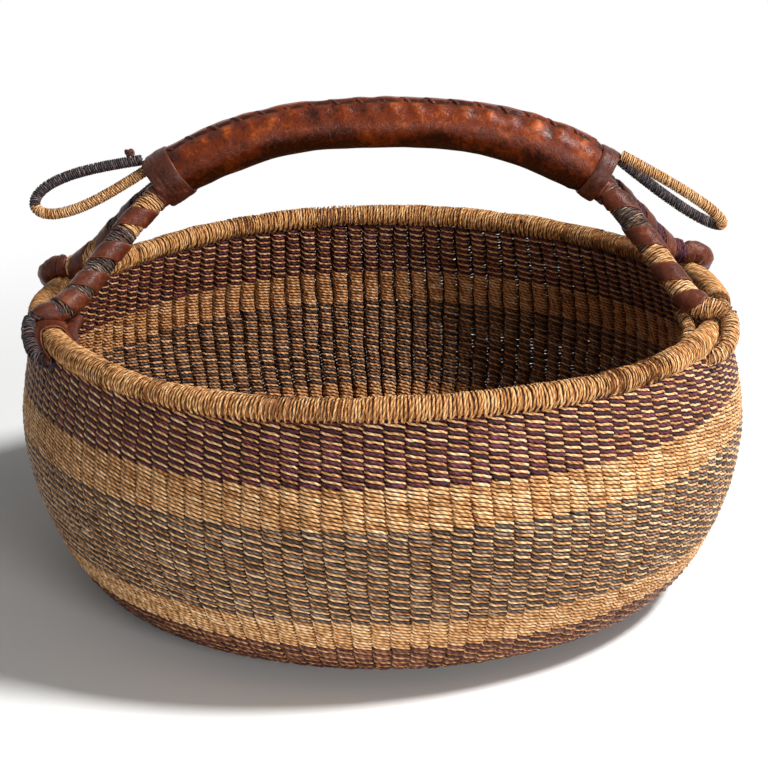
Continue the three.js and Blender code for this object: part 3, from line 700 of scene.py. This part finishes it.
def skin(name, grid, material, closed_along=False, **attributes):
    """A tube or ring through rows of points, with a number at each point for each attribute."""
    rows, columns = grid.shape[:2]
    numbers = np.arange(rows * columns).reshape(rows, columns)
    numbers = np.column_stack([numbers, numbers[:, :1]])
    if closed_along:
        numbers = np.vstack([numbers, numbers[:1]])
    corners = (numbers[:-1, :-1], numbers[:-1, 1:], numbers[1:, 1:], numbers[1:, :-1])
    faces = np.stack(corners, axis=-1).reshape(-1, 4).tolist()
    if not closed_along:
        faces += [numbers[0, :columns].tolist()[::-1], numbers[rows - 1, :columns].tolist()]
    mesh = bpy.data.meshes.new(name)
    mesh.from_pydata(grid.reshape(-1, 3).tolist(), [], faces)
    for label, values in attributes.items():
        spread = np.broadcast_to(values, (rows, columns)).astype(float).ravel()
        mesh.attributes.new(label, "FLOAT", "POINT").data.foreach_set("value", spread)
    mesh.materials.append(material)
    return placed(name, mesh)


def stray(x, y=0.0, z=0.0):
    return noise.noise(Vector((x, y, z)))


rim_azimuths = np.linspace(0, 2 * pi, rim_points, endpoint=False)
rim_outward = np.column_stack([np.cos(rim_azimuths), np.sin(rim_azimuths), 0 * rim_azimuths])
rim_upward = np.array([0, 0, 1.0])
rim_path = {
    "points": rim_outward * rim_radius + [0, 0, rim_height],
    "sides": rim_outward,
    "lifts": np.tile(rim_upward, (rim_points, 1)),
}
rim_round = np.linspace(0, 2 * pi, rim_core_sides, endpoint=False)
rim_grid = rim_path["points"][::2, None] + rim_core_radius * (
    rim_outward[::2, None] * np.cos(rim_round)[None, :, None] + rim_upward * np.sin(rim_round)[None, :, None]
)
rim_core = skin("rim_core_ring", rim_grid[:, ::-1], shaded_straw, closed_along=True, along=0.0)
finished(pull_out_of_true(rim_core), "straw_grass", "rim_core")
rim_lumps = [
    stray(cos(turn) * 9, sin(turn) * 9) + 0.7 * stray(cos(turn) * 26, sin(turn) * 26, 5)
    for turn in rim_azimuths
]
rim_winding = wind("rim_winding", rim_path, rim_core_radius + rim_lump_height * np.array(rim_lumps),
                   rim_straw, 0.0, 2 * pi * rim_radius, rim_turns, rim_strand_radius, rim_strands, steps=16,
                   pairing=0.5, stray=0.2, closed=True)
finished(pull_out_of_true(rim_winding), "straw_grass", "rim_wrap")


# The grip: a bundle of grass in a sleeve of goatskin, drawn tight while wet, thicker at its ends and
# puckered along the seam that closes it on top.
handle_foot = Vector((-mouth_lean, 0, rim_height))
grip_half_span = 0.126
grip_shift = 0.002
grip_rise = 0.106
grip_drop = 0.0325
grip_arch = 2.5
grip_radius = 0.0145
grip_core_radius = 0.0115
# Places along the grip, from -1 at its left end to 1 at its right end, and how thick it is there
grip_swell = (
    (-1, 1), (-0.9, 1.02), (-0.8, 1.05), (-0.65, 1.05), (-0.5, 1.01), (-0.3, 0.99), (-0.1, 1),
    (0.1, 1), (0.3, 1.01), (0.5, 1.04), (0.65, 1.08), (0.8, 1.13), (0.9, 1.13), (1, 0.9),
)
sleeve_share = 0.985
sleeve_steps = 220
sleeve_sides = 72
rounding_start = 0.985
mouth_radius = grip_core_radius * 0.9
lap_height = 0.0009
lace_count = 20


def grip_point(share):
    return handle_foot + Vector((
        grip_shift + share * grip_half_span, 0, grip_rise - grip_drop * abs(share)**grip_arch,
    ))


def grip_thickness(share):
    return grip_radius * np.interp(share, *zip(*grip_swell))


def path_along(points, first_side):
    """A line of points with its lengths, and two ways across it that don't twist round it."""
    points = np.array([tuple(point) for point in points])
    ways = np.gradient(points, axis=0)
    ways /= np.linalg.norm(ways, axis=1)[:, None]
    sides = np.empty_like(ways)
    side = np.array(first_side, dtype=float)
    for number, way in enumerate(ways):
        side = side - way * side.dot(way)
        side /= np.linalg.norm(side)
        sides[number] = side
    lengths = np.concatenate([[0], np.cumsum(np.linalg.norm(np.diff(points, axis=0), axis=1))])
    return {"points": points, "sides": sides, "lifts": np.cross(ways, sides), "lengths": lengths,
            "length": lengths[-1]}


def on_path(path, length, angle, radius):
    """Points round a path: lengths along it, angles round it from its side to its lift."""
    length, angle, radius = np.broadcast_arrays(length, angle, radius)
    middle, side, lift = (
        np.stack([np.interp(length, path["lengths"], path[key][:, axis]) for axis in range(3)], axis=-1)
        for key in ("points", "sides", "lifts")
    )
    return middle + (side * np.cos(angle)[..., None] + lift * np.sin(angle)[..., None]) * radius[..., None]


def leather(name, dark, plain, pale, roughness):
    """Dyed goatskin, polished by the hand: fine grain, creases, paler edges, and a mesh's pale ridges and
    painted shade.
    """
    material, nodes = empty_material(name)
    place = nodes.add("ShaderNodeTexCoord", output="Object")
    blotches = noise_at(nodes, place, 60.0, 3.0, Roughness=0.55)
    creases = noise_at(nodes, place, 260.0, 5.0, Roughness=0.65, Distortion=1.0)
    pores = nodes.add("ShaderNodeTexVoronoi", {"Vector": place, "Scale": 1300.0}, output="Distance")
    # The mesh's attribute brings paler ridges and painted shade into the tone
    tone = (blotches - 0.5) * 1.2 + (creases - 0.5) * 1.3 + attribute(nodes, "raised") * 0.5 + 0.5
    color = mixed(nodes, tone.between(0.0, 0.55), dark, plain)
    color = mixed(nodes, tone.between(0.5, 1.1), color, pale)
    paler_edge = attribute(nodes, "edge").between(0.8, 1.0) * (0.3 + blotches * 0.6)
    covered(nodes, mixed(nodes, paler_edge, color, pale), roughness + (creases - 0.5) * 0.3, 0.16,
            blotches * 0.8 + creases * 0.9 + pores * 0.15, strength=0.5, depth=0.001)
    return material


grip_skin = leather("grip_leather", (0.022, 0.004, 0.001), (0.110, 0.016, 0.002), (0.34, 0.072, 0.012), 0.3)
strap_skin = leather("strap_leather", (0.016, 0.004, 0.002), (0.080, 0.017, 0.007), (0.24, 0.075, 0.034),
                     0.34)
dark_skin = leather("dark_leather", (0.014, 0.004, 0.002), (0.066, 0.016, 0.008), (0.20, 0.062, 0.034), 0.36)

grip_path = path_along([grip_point(share) for share in np.linspace(-1, 1, 241)], (0, 1, 0))
grip_lengths = np.linspace(0, grip_path["length"], sleeve_steps + 1)
grip_angles = np.linspace(0, 2 * pi, sleeve_sides, endpoint=False)
along_grip = grip_lengths[:, None] / grip_path["length"] * 2 - 1
lace_pitch = grip_path["length"] / lace_count


def seam_place(length):
    """How far round the grip the seam runs. The rear is at 0 degrees and the top at 90."""
    scallop = np.abs(np.sin(length / lace_pitch * pi))**0.7
    return radians(106) - radians(6) * (length / grip_path["length"]) + radians(5) * scallop


def uneven_skin(along, around, start):
    """A soft noise at each length and angle of the grip."""
    return np.array([
        [stray(length * along, cos(angle) * around + start, sin(angle) * around) for angle in grip_angles]
        for length in grip_lengths
    ])


off_seam = (grip_angles[None, :] - seam_place(grip_lengths)[:, None] + pi) % (2 * pi) - pi


def beside_seam(middle, width):
    """1 at an angle beside the seam, less and less to both sides of it."""
    return np.exp(-((off_seam - middle) / width)**2)


# The rear skin laps over the front skin with a scalloped edge, and gapes a little between two laces
lace_cycle = grip_lengths[:, None] / lace_pitch * pi
pucker = 1 - np.abs(np.cos(lace_cycle))**1.5 * 2
lap = np.exp(np.clip(off_seam, None, 0) / 0.22) * (off_seam <= 0.02)
gape = np.abs(np.sin(lace_cycle))**2 * beside_seam(0.09, 0.07)
grip_relief = (
    0.0005 * uneven_skin(40, 1.1, 7)
    + 0.0009 * uneven_skin(95, 1.3, 0) * (0.25 + 0.75 * beside_seam(0, 0.9))
    + 0.0006 * pucker * beside_seam(0.35, 0.4)
    - 0.0006 * gape
)
grip_surface = grip_thickness(along_grip) * sleeve_share + grip_relief + lap_height * lap
past = np.clip((np.abs(along_grip) - rounding_start) / (1 - rounding_start), 0, 1)
grip_surface = mouth_radius + (grip_surface - mouth_radius) * np.sqrt(np.clip(1 - past**2, 0, 1))
grip_grid = on_path(grip_path, grip_lengths[:, None], grip_angles[None, :], grip_surface)
# Paler on the ridges of the relief; painted shade on the underside, in the gapes between laces and in the
# relief's hollows
underneath = np.clip(0.1 - np.sin(grip_angles) * 1.1, 0, 1)[None, :]
grip_tone_and_shade = np.clip(grip_relief / 0.0014, -0.5, 0.8) - 1.1 * underneath - 1.5 * gape
grip_sleeve = skin("grip_sleeve", grip_grid[:, ::-1], grip_skin, edge=(0.9 * (lap > 0.93))[:, ::-1],
                   raised=grip_tone_and_shade[:, ::-1])
finished(grip_sleeve, "leather", "grip_leather", "grip_core")


# The thong that laces the sleeve: between two scallops it comes up through the lapped skin, crosses the
# seam flat and goes down again.
thong_radius = 0.00085
thong_sides = 8
lace_steps = 16
lace_turns = lace_count - 2
lace_share = np.linspace(0, 1, lace_turns * lace_steps + 1)
lace_length = lace_pitch * (1 + lace_share * lace_turns)
lace_phase = lace_share * lace_turns * 2 * pi
lace_over = np.clip(np.cos(lace_phase) * 1.6 - 0.1, -1, 1)
lace_height = (
    grip_thickness(lace_length / grip_path["length"] * 2 - 1) * sleeve_share + 0.0011 * lace_over - 0.0010
)
lace_points = on_path(
    grip_path, lace_length, seam_place(lace_length) - 0.03 + 0.13 * np.sin(lace_phase), lace_height
)
lace_path = path_along(lace_points, (0, 0, 1))
thong_round = np.linspace(0, 2 * pi, thong_sides, endpoint=False)
lacing = skin("grip_thong", on_path(
    lace_path, np.linspace(0, lace_path["length"], len(lace_share) * 2)[:, None], thong_round[None, ::-1],
    thong_radius,
), dark_skin, edge=0.3)
finished(lacing, "dark_leather", "grip_lacing")


# The collars: a wet strip wound three or four times over each end of the sleeve and the heads of
# the legs, each turn half over the last.
collar_past = 0.0025
collar_back = {-1: 0.013, 1: 0.007}


def grip_end(side):
    """The end of the grip on one side, the way out of it and the way up across it."""
    end = grip_point(side)
    out = (end - grip_point(side * 0.99)).normalized()
    return end, out, Vector((-out.z * side, 0, out.x * side))


def collar_seat(side):
    """The grip's radius where its collar begins."""
    return grip_thickness(side * (1 - collar_back[side] / grip_half_span))


def strap(name, path, material, lengths, angles, surface, width, thickness, hand=1.0, tilt=0.0, ragged=0.03):
    """A flat leather strip laid on a path's surface along the given lengths and angles."""
    sides = np.array([-0.5, -0.47, -0.38, -0.2, 0.0, 0.2, 0.38, 0.47, 0.5, 0.4, 0.0, -0.4])
    heights = np.array([0.0, 0.6, 0.95, 1.0, 1.0, 1.0, 0.95, 0.6, 0.0, -0.3, -0.3, -0.3])
    surface = np.broadcast_to(surface, lengths.shape)
    forward = np.gradient(lengths)
    round_way = np.gradient(angles) * surface
    norm = np.hypot(forward, round_way)
    seed = stray(len(name), width * 1000, hand) * 50
    steps = range(len(lengths))
    widths = width * np.array([1 + ragged * 2 * stray(step * 0.21, seed) for step in steps])
    across = sides[None, :] * widths[:, None]
    length = lengths[:, None] + across * np.abs(round_way / norm)[:, None]
    angle = angles[:, None] - across * (np.sign(round_way) * forward / norm / surface)[:, None]
    wrinkle = np.array([[stray(step * 0.35, place * 2.2, seed) for place in sides] for step in steps])
    lift = thickness * (heights[None, :] * (1 + 0.5 * wrinkle)) + tilt * (sides[None, :] + 0.5)
    grid = on_path(path, length, angle, surface[:, None] + lift)
    edge = np.abs(sides) * 2 * (heights > 0)
    return skin(name, grid[:, ::-1], material, edge=edge[None, ::-1])


for name, side, turns, width in (("left", -1, 3.6, 0.0085), ("right", 1, 3.1, 0.0070)):
    end, out, _ = grip_end(side)
    reach = np.linspace(-collar_back[side] - 0.002, collar_past + 0.001, 24)
    path = path_along([end + out * place for place in reach], (0, 1, 0))
    angles = np.linspace(0, turns * 2 * pi, round(turns * 36))
    lengths = width * 0.52 + (path["length"] - width * 1.04) * np.linspace(0, 1, len(angles))
    piece = strap(f"{name}_collar_strip", path, dark_skin, lengths, angles + 0.8, collar_seat(side), width,
                  thickness=0.0010, tilt=0.0006, ragged=0.06)
    finished(piece, "dark_leather", f"{name}_collar")


# The legs: at each end of the grip two bundles of grass spread down to the rim. Each is bound with
# grass and then with a leather strap whose turns let the grass show. At the rim it makes an eye: over
# the top, down the outside, in through the weave and back up inside against itself.
clearance = 0.0003
leg_core_radius = 0.0058
leg_strand_radius = 0.00075
leg_reach = 0.0085
return_radius = 0.0026
return_steps = 14
bundle_sides = 14
rim_reach = 0.0072
eye_gap = 0.0006
eye_half = 0.0052
# Half the number of stakes that an eye moves away from the handle's line between the top of the rim
# and the turn where it goes in, and the turn from which it grows thinner on the way
eye_skew = 1.2
eye_entry = radians(-45)
eye_thins = radians(-18)
landing = radians(100)
landing_run = 0.016
# How far before the landing the eye's own binding begins, and how far it overlaps the return's
eye_lead = 0.004
eye_overlap = 0.015
head_drop = 0.005
head_apart = 0.015
head_length = 0.004
head_steps = 6
leg_steps = 60
meets_at = 14
# "stakes" counts them from the handle's line to the eye, "eye" is the radius of the core on the rim, and
# the strap comes round to the front of the leg at the lengths in "bands"
legs = {
    "front_left": {"side": -1, "end": -1, "stakes": 9, "hand": 1, "eye": 0.0030,
                   "bands": (0.024, 0.051, 0.0735, 0.0895, 0.103)},
    "rear_left": {"side": -1, "end": 1, "stakes": 7, "hand": -1, "eye": 0.0041,
                  "bands": (0.032, 0.0564, 0.0854)},
    "front_right": {"side": 1, "end": -1, "stakes": 9, "hand": -1, "eye": 0.0040,
                    "bands": (0.0145, 0.0435, 0.0705, 0.0925)},
    "rear_right": {"side": 1, "end": 1, "stakes": 8, "hand": 1, "eye": 0.0041,
                   "bands": (0.024, 0.050, 0.076)},
}


def eye_point(leg, turn, reach, aside=0.0):
    """A point of a leg's eye: how far round the rim's section, and how far from the rim's middle."""
    skew = min(max(sin(turn) / sin(eye_entry), -1), 1)
    spread = radians((leg["stakes"] - eye_skew + eye_skew * skew) * (360 / stakes)) - aside / rim_radius
    azimuth = np.arctan2(leg["end"] * sin(spread), leg["side"] * cos(spread))
    out = rim_radius + reach * cos(turn)
    height = float(rim_wave(azimuth)) + reach * sin(turn)
    return handle_foot + Vector((out * np.cos(azimuth), out * np.sin(azimuth), height))


def thinned(turn):
    """0 over the top of the rim, and 1 from where the eye goes in through the weave."""
    return min(max((turn - eye_thins) / (eye_entry - eye_thins), 0), 1)


def eye_core(leg, turn):
    share = thinned(turn)
    return leg["eye"] * (1 - share) + return_radius * share


def eye_reach(turn):
    share = thinned(turn)
    return rim_reach + eye_gap + eye_half * (1 - share) + return_radius * share


def bezier_points(corners, steps):
    return [Vector(point) for point in bezier(corners, steps)]


for leg in legs.values():
    end, out, lift = grip_end(leg["side"])
    head = end + out * clearance + Vector((0, leg["end"] * head_apart / 2, 0)) - lift * head_drop
    neck = head + out * head_length
    land = eye_point(leg, landing, eye_reach(landing))
    land_way = (eye_point(leg, landing - radians(3), eye_reach(landing)) - land).normalized()
    third = (land - neck).length / 3
    head_way = ((land - neck).normalized() + out).normalized()
    line = bezier_points((neck, neck + head_way * third, land - land_way * landing_run, land), leg_steps)
    points = [head.lerp(neck, share) for share in np.linspace(0, 1, head_steps + 1)[:-1]] + line
    landed = len(points) - 1
    girths = [leg_core_radius] * len(points)
    eye_turns = np.radians(np.arange(95, -181, -5))
    for turn in eye_turns:
        points.append(eye_point(leg, turn, eye_reach(turn)))
        girths.append(eye_core(leg, turn))
    inside = len(points) - 1
    # The end comes up inside and lies under the leg
    meeting, before = line[-meets_at], line[-meets_at - 2]
    way = (meeting - before).normalized()
    below = way.cross(Vector((-way.y, way.x, 0))).normalized()
    below = -below if below.z > 0 else below
    tail = meeting + below * (leg_reach + eye_gap + return_radius)
    rising = (points[-1] - points[-2]).normalized()
    points += bezier_points((
        points[-1], points[-1] + rising * 0.008, tail + (tail - points[-1]).normalized() * -0.006, tail,
    ), return_steps)[1:]
    girths += [return_radius] * return_steps
    path = leg["path"] = path_along(points, (0, 0, 1))
    leg["girths"] = np.convolve(np.pad(girths, 4, "edge"), np.ones(9) / 9, "valid")
    leg["marks"] = {
        "neck": path["lengths"][head_steps],
        "landing": path["lengths"][landed],
        "eye_end": path["lengths"][landed + np.count_nonzero(eye_turns > eye_thins)],
        "inside": path["lengths"][inside],
        "tail": path["lengths"][-1],
    }


def girths_at(leg, lengths):
    return np.interp(lengths, leg["path"]["lengths"], leg["girths"])


bundle_round = np.linspace(0, 2 * pi, bundle_sides, endpoint=False)
bundle_grass = {
    "front_left": strap_skin, "rear_left": shaded_straw, "front_right": shaded_straw,
    "rear_right": purple_grass,
}
for name, leg in legs.items():
    path = leg["path"]
    lengths = np.linspace(0, path["length"], 110)
    past = np.clip(1 - (path["length"] - lengths) / return_radius, 0, 1)
    radius = girths_at(leg, lengths) * np.sqrt(np.clip(1 - past**2, 0.02, 1))
    grid = on_path(path, lengths[:, None], bundle_round[None, :], radius[:, None])
    core = skin(f"{name}_leg_bundle", grid, bundle_grass[name], along=lengths[:, None])
    finished(core, "straw_grass", f"{name}_leg_core")


# The bindings of the legs: turns of grass from the head to the rim, of one color or two, then a strap
# of leather wound over them, and on three legs a second one round the head, under the collar.
thong_pitch = 0.024
thong_width = 0.0118
head_strap_angle = 10
towards_front = np.array([0, -0.95, 0.3])
# Each leg's grass and how far down it reaches, from the head
leg_grass = {
    "front_left": ((straw, 0.033), (grey_grass, None)),
    "rear_left": ((grey_grass, 0.062), (straw, None)),
    "front_right": ((grey_grass, 0.050), (straw, None)),
    "rear_right": ((purple_grass, None),),
}
grass_slot = {straw: "straw_grass", grey_grass: "grey_grass", purple_grass: "purple_grass"}
for name, leg in legs.items():
    marks, path = leg["marks"], leg["path"]
    first = marks["neck"] + 0.0025
    for number, (material, last) in enumerate(leg_grass[name]):
        last = last or marks["landing"] - eye_lead
        piece = wind(f"{name}_leg_grass_{number + 1}", path, leg["girths"], material, first, last,
                     (last - first) / (2.0 * leg_strand_radius), leg_strand_radius, 2, hand=leg["hand"],
                     strand=float(number + 3))
        finished(piece, grass_slot[material], f"{name}_leg_wrap")
        first = last
    bands = leg["bands"]
    last = marks["landing"] + (0.005 if name == "front_left" else -eye_lead)
    lengths = np.linspace(marks["neck"] + 0.0065, last, 130)
    surface = girths_at(leg, lengths) + 2 * leg_strand_radius - 0.0002
    turns = np.interp(lengths, bands, range(len(bands)))
    before, after = np.minimum(lengths - bands[0], 0), np.maximum(lengths - bands[-1], 0)
    turns = turns + (before + after) / thong_pitch
    side, lift = (
        sum(np.interp(lengths, path["lengths"], path[key][:, axis]) * share
            for axis, share in enumerate(towards_front))
        for key in ("sides", "lifts")
    )
    angles = np.unwrap(np.arctan2(lift, side)) + leg["hand"] * 2 * pi * turns
    piece = strap(f"{name}_leg_thong", path, strap_skin, lengths, angles, surface,
                  thong_width, thickness=0.0008, hand=leg["hand"], ragged=0.1)
    finished(piece, "leather", f"{name}_leg_strap")
    if name != "rear_left":
        steps = np.linspace(0, 1, 60)
        piece = strap(f"{name}_leg_head", path, strap_skin, 0.0005 + 0.006 * steps,
                      leg["hand"] * steps * head_strap_angle, leg_core_radius + 0.0007, width=0.0068,
                      thickness=0.0010, hand=leg["hand"], tilt=0.0004, ragged=0.08)
        finished(piece, "leather")


# The eyes: the front left one is wound in dark grass, the front right one in straw, and the rear two
# in leather. The end that comes up inside the wall is bound as well.
eye_strand_radius = 0.0007
eye_strap_width = 0.0078
eye_strap_turns = 7
return_strap_turns = 5.2
strap_inset = 0.003
dark_grass = grass("dark_grass", (0.008, 0.006, 0.007), (0.018, 0.014, 0.018), (0.055, 0.042, 0.048),
                   (0.24, 0.18, 0.17), 0.42)
eye_finish = {
    "front_left": ("dark_grass", dark_grass), "rear_left": ("leather", strap_skin),
    "front_right": ("straw_grass", straw), "rear_right": ("leather", strap_skin),
}


def wound_evenly(leg, start, end, turns, count):
    """The lengths and angles of a strap that is wound evenly round a leg between two lengths."""
    steps = np.linspace(0, 1, count)
    lengths = start + strap_inset + (end - start - 2 * strap_inset) * steps
    return lengths, leg["hand"] * steps * turns * 2 * pi


def bind(name, leg, material, start, end, strands, hand, strand):
    return wind(name, leg["path"], leg["girths"], material, start, end,
                (end - start) / (2.0 * eye_strand_radius), eye_strand_radius, strands, hand=hand,
                strand=strand)


for name, leg in legs.items():
    slot, material = eye_finish[name]
    marks = leg["marks"]
    start, end = marks["landing"] - eye_lead, marks["eye_end"] + eye_overlap
    if slot == "leather":
        lengths, angles = wound_evenly(leg, start, end, eye_strap_turns, eye_strap_turns * 30)
        piece = strap(f"{name}_eye_strap", leg["path"], material, lengths, angles,
                      girths_at(leg, lengths) + 0.0004, eye_strap_width, thickness=0.0014,
                      hand=leg["hand"], tilt=0.0006, ragged=0.06)
    else:
        piece = bind(f"{name}_eye_grass", leg, material, start, end, 2, leg["hand"], 8.0)
    finished(piece, slot, f"{name}_eye_wrap")
    start, end = marks["inside"] - eye_overlap, marks["tail"] - 0.001
    if name == "front_right":
        piece = bind(f"{name}_return_grass", leg, straw, start, end, 5, -leg["hand"], 9.0)
        finished(piece, "straw_grass")
    else:
        piece = strap(f"{name}_return_strap", leg["path"], strap_skin,
                      *wound_evenly(leg, start, end, return_strap_turns, 110), return_radius + 0.0002,
                      eye_strap_width, thickness=0.0010, hand=leg["hand"], tilt=0.0004)
        finished(piece, "leather")


# The rim strap: a flat piece of leather drawn tight over the rim beside the front left eye, crowned
# across, narrower towards its ends, which are tucked in below.
rim_strap_gap = 0.0034
rim_strap_width = 0.010
rim_strap_seat = 0.0078
rim_strap_crown = 0.0030
rim_strap_thickness = 0.0011
rim_strap_turns = np.linspace(-36, 215, 60)
rim_strap_widths = rim_strap_width * np.interp(rim_strap_turns, [-36, -20, 30, 100, 215],
                                               [0.12, 0.35, 0.72, 1, 0.8])
strap_across = np.array([0.0, 0.03, 0.12, 0.3, 0.5, 0.7, 0.88, 0.97, 1.0, 0.9, 0.5, 0.1])
strap_height = np.array([0.3, 0.85, 1.0, 0.85, 0.8, 0.85, 1.0, 0.85, 0.3, 0.0, 0.0, 0.0])
strap_reach = rim_strap_seat + rim_strap_crown * (1 - strap_across)**2 + rim_strap_thickness * strap_height
strap_grid = np.array([
    [tuple(eye_point(legs["front_left"], radians(turn), reach, -rim_strap_gap - width * across))
     for across, reach in zip(strap_across, strap_reach)]
    for turn, width in zip(rim_strap_turns, rim_strap_widths)
])
edge = np.abs(strap_across - 0.5) * 2 * (strap_height > 0)
rim_strap = skin("front_left_rim_band", strap_grid[:, ::-1], strap_skin, edge=edge[None, ::-1])
finished(rim_strap, "leather", "front_left_rim_strap")


# The end loops: one stiff rod at each end of the grip, bent back on itself and wound half in dark
# grass and half in straw.
loop_core_radius = 0.0022
loop_strand_radius = 0.0006
loop_width = 0.016
loop_root = 0.00325
root_lift = 0.0008
loops = {
    "left": {"side": -1, "length": 0.0665, "along": Vector((-0.94, -0.08, -0.33)),
             "across": Vector((-0.15, 0.35, 0.92))},
    "right": {"side": 1, "length": 0.0715, "along": Vector((0.83, -0.03, -0.56)),
              "across": Vector((0, 0.78, -0.62))},
}


def loop_ways(loop):
    """The way out along a loop and the way across it."""
    along = loop["along"].normalized()
    return along, (loop["across"] - along * loop["across"].dot(along)).normalized()


def loop_point(loop, half, share):
    """A point of one half of a loop, 1 or -1, from the loop's root to its far end."""
    end, out, lift = grip_end(loop["side"])
    along, across = loop_ways(loop)
    collar = (collar_seat(loop["side"]) + clearance) / cos(pi / 16)
    spread = loop_root * (1 - share) + loop_width / 2 * sin(share * pi)
    return (
        end
        + out * (collar_past + clearance + loop_root * abs(across.dot(out)))
        + lift * (collar + root_lift - loop_root * abs(across.dot(lift)))
        + along * loop["length"] * sin(share * pi / 2)
        + across * half * spread
    )


for name, loop in loops.items():
    for half, finish, material in ((1, "dark", dark_grass), (-1, "straw", straw)):
        path = path_along([loop_point(loop, half, share) for share in np.linspace(0, 1, 70)], (0, 1, 0.2))
        lengths = np.linspace(0, path["length"], 60)[:, None]
        grid = on_path(path, lengths, bundle_round[None, :], loop_core_radius)
        core = skin(f"{name}_loop_{finish}_core", grid, material, along=lengths)
        winding = wind(f"{name}_loop_{finish}_winding", path, loop_core_radius, material, 0.0, path["length"],
                       path["length"] / (2.02 * loop_strand_radius), loop_strand_radius, 3, steps=12,
                       stray=0.14, strand=2.0 + half)
        finished(core, f"{finish}_grass")
        finished(winding, f"{finish}_grass", f"{name}_loop_{finish}_limb")


# The knot: a short end of thong, tied round the left loop at its root in three crossings and drawn
# tight.
knot_half = 0.00075
knot_rise = 0.0013
knot_radius = 0.0010
knot_steps = 90
knot_middle = loop_point(loops["left"], 1, 0.05) + loop_ways(loops["left"])[1] * 0.0052
knot_points = [
    knot_middle + Vector((
        knot_half * (sin(turn) + 2 * sin(2 * turn)), knot_half * (cos(turn) - 2 * cos(2 * turn)),
        -knot_rise * sin(3 * turn),
    ))
    for turn in np.linspace(0, 2 * pi, knot_steps + 1)[:-1]
]
knot_path = path_along(knot_points + knot_points[:1], (0, 0, 1))
knot = skin("left_loop_tie", on_path(
    knot_path, np.linspace(0, knot_path["length"], knot_steps)[:, None], thong_round[None, ::-1], knot_radius,
), dark_skin, edge=0.3)
finished(knot, "dark_leather", "left_loop_knot")
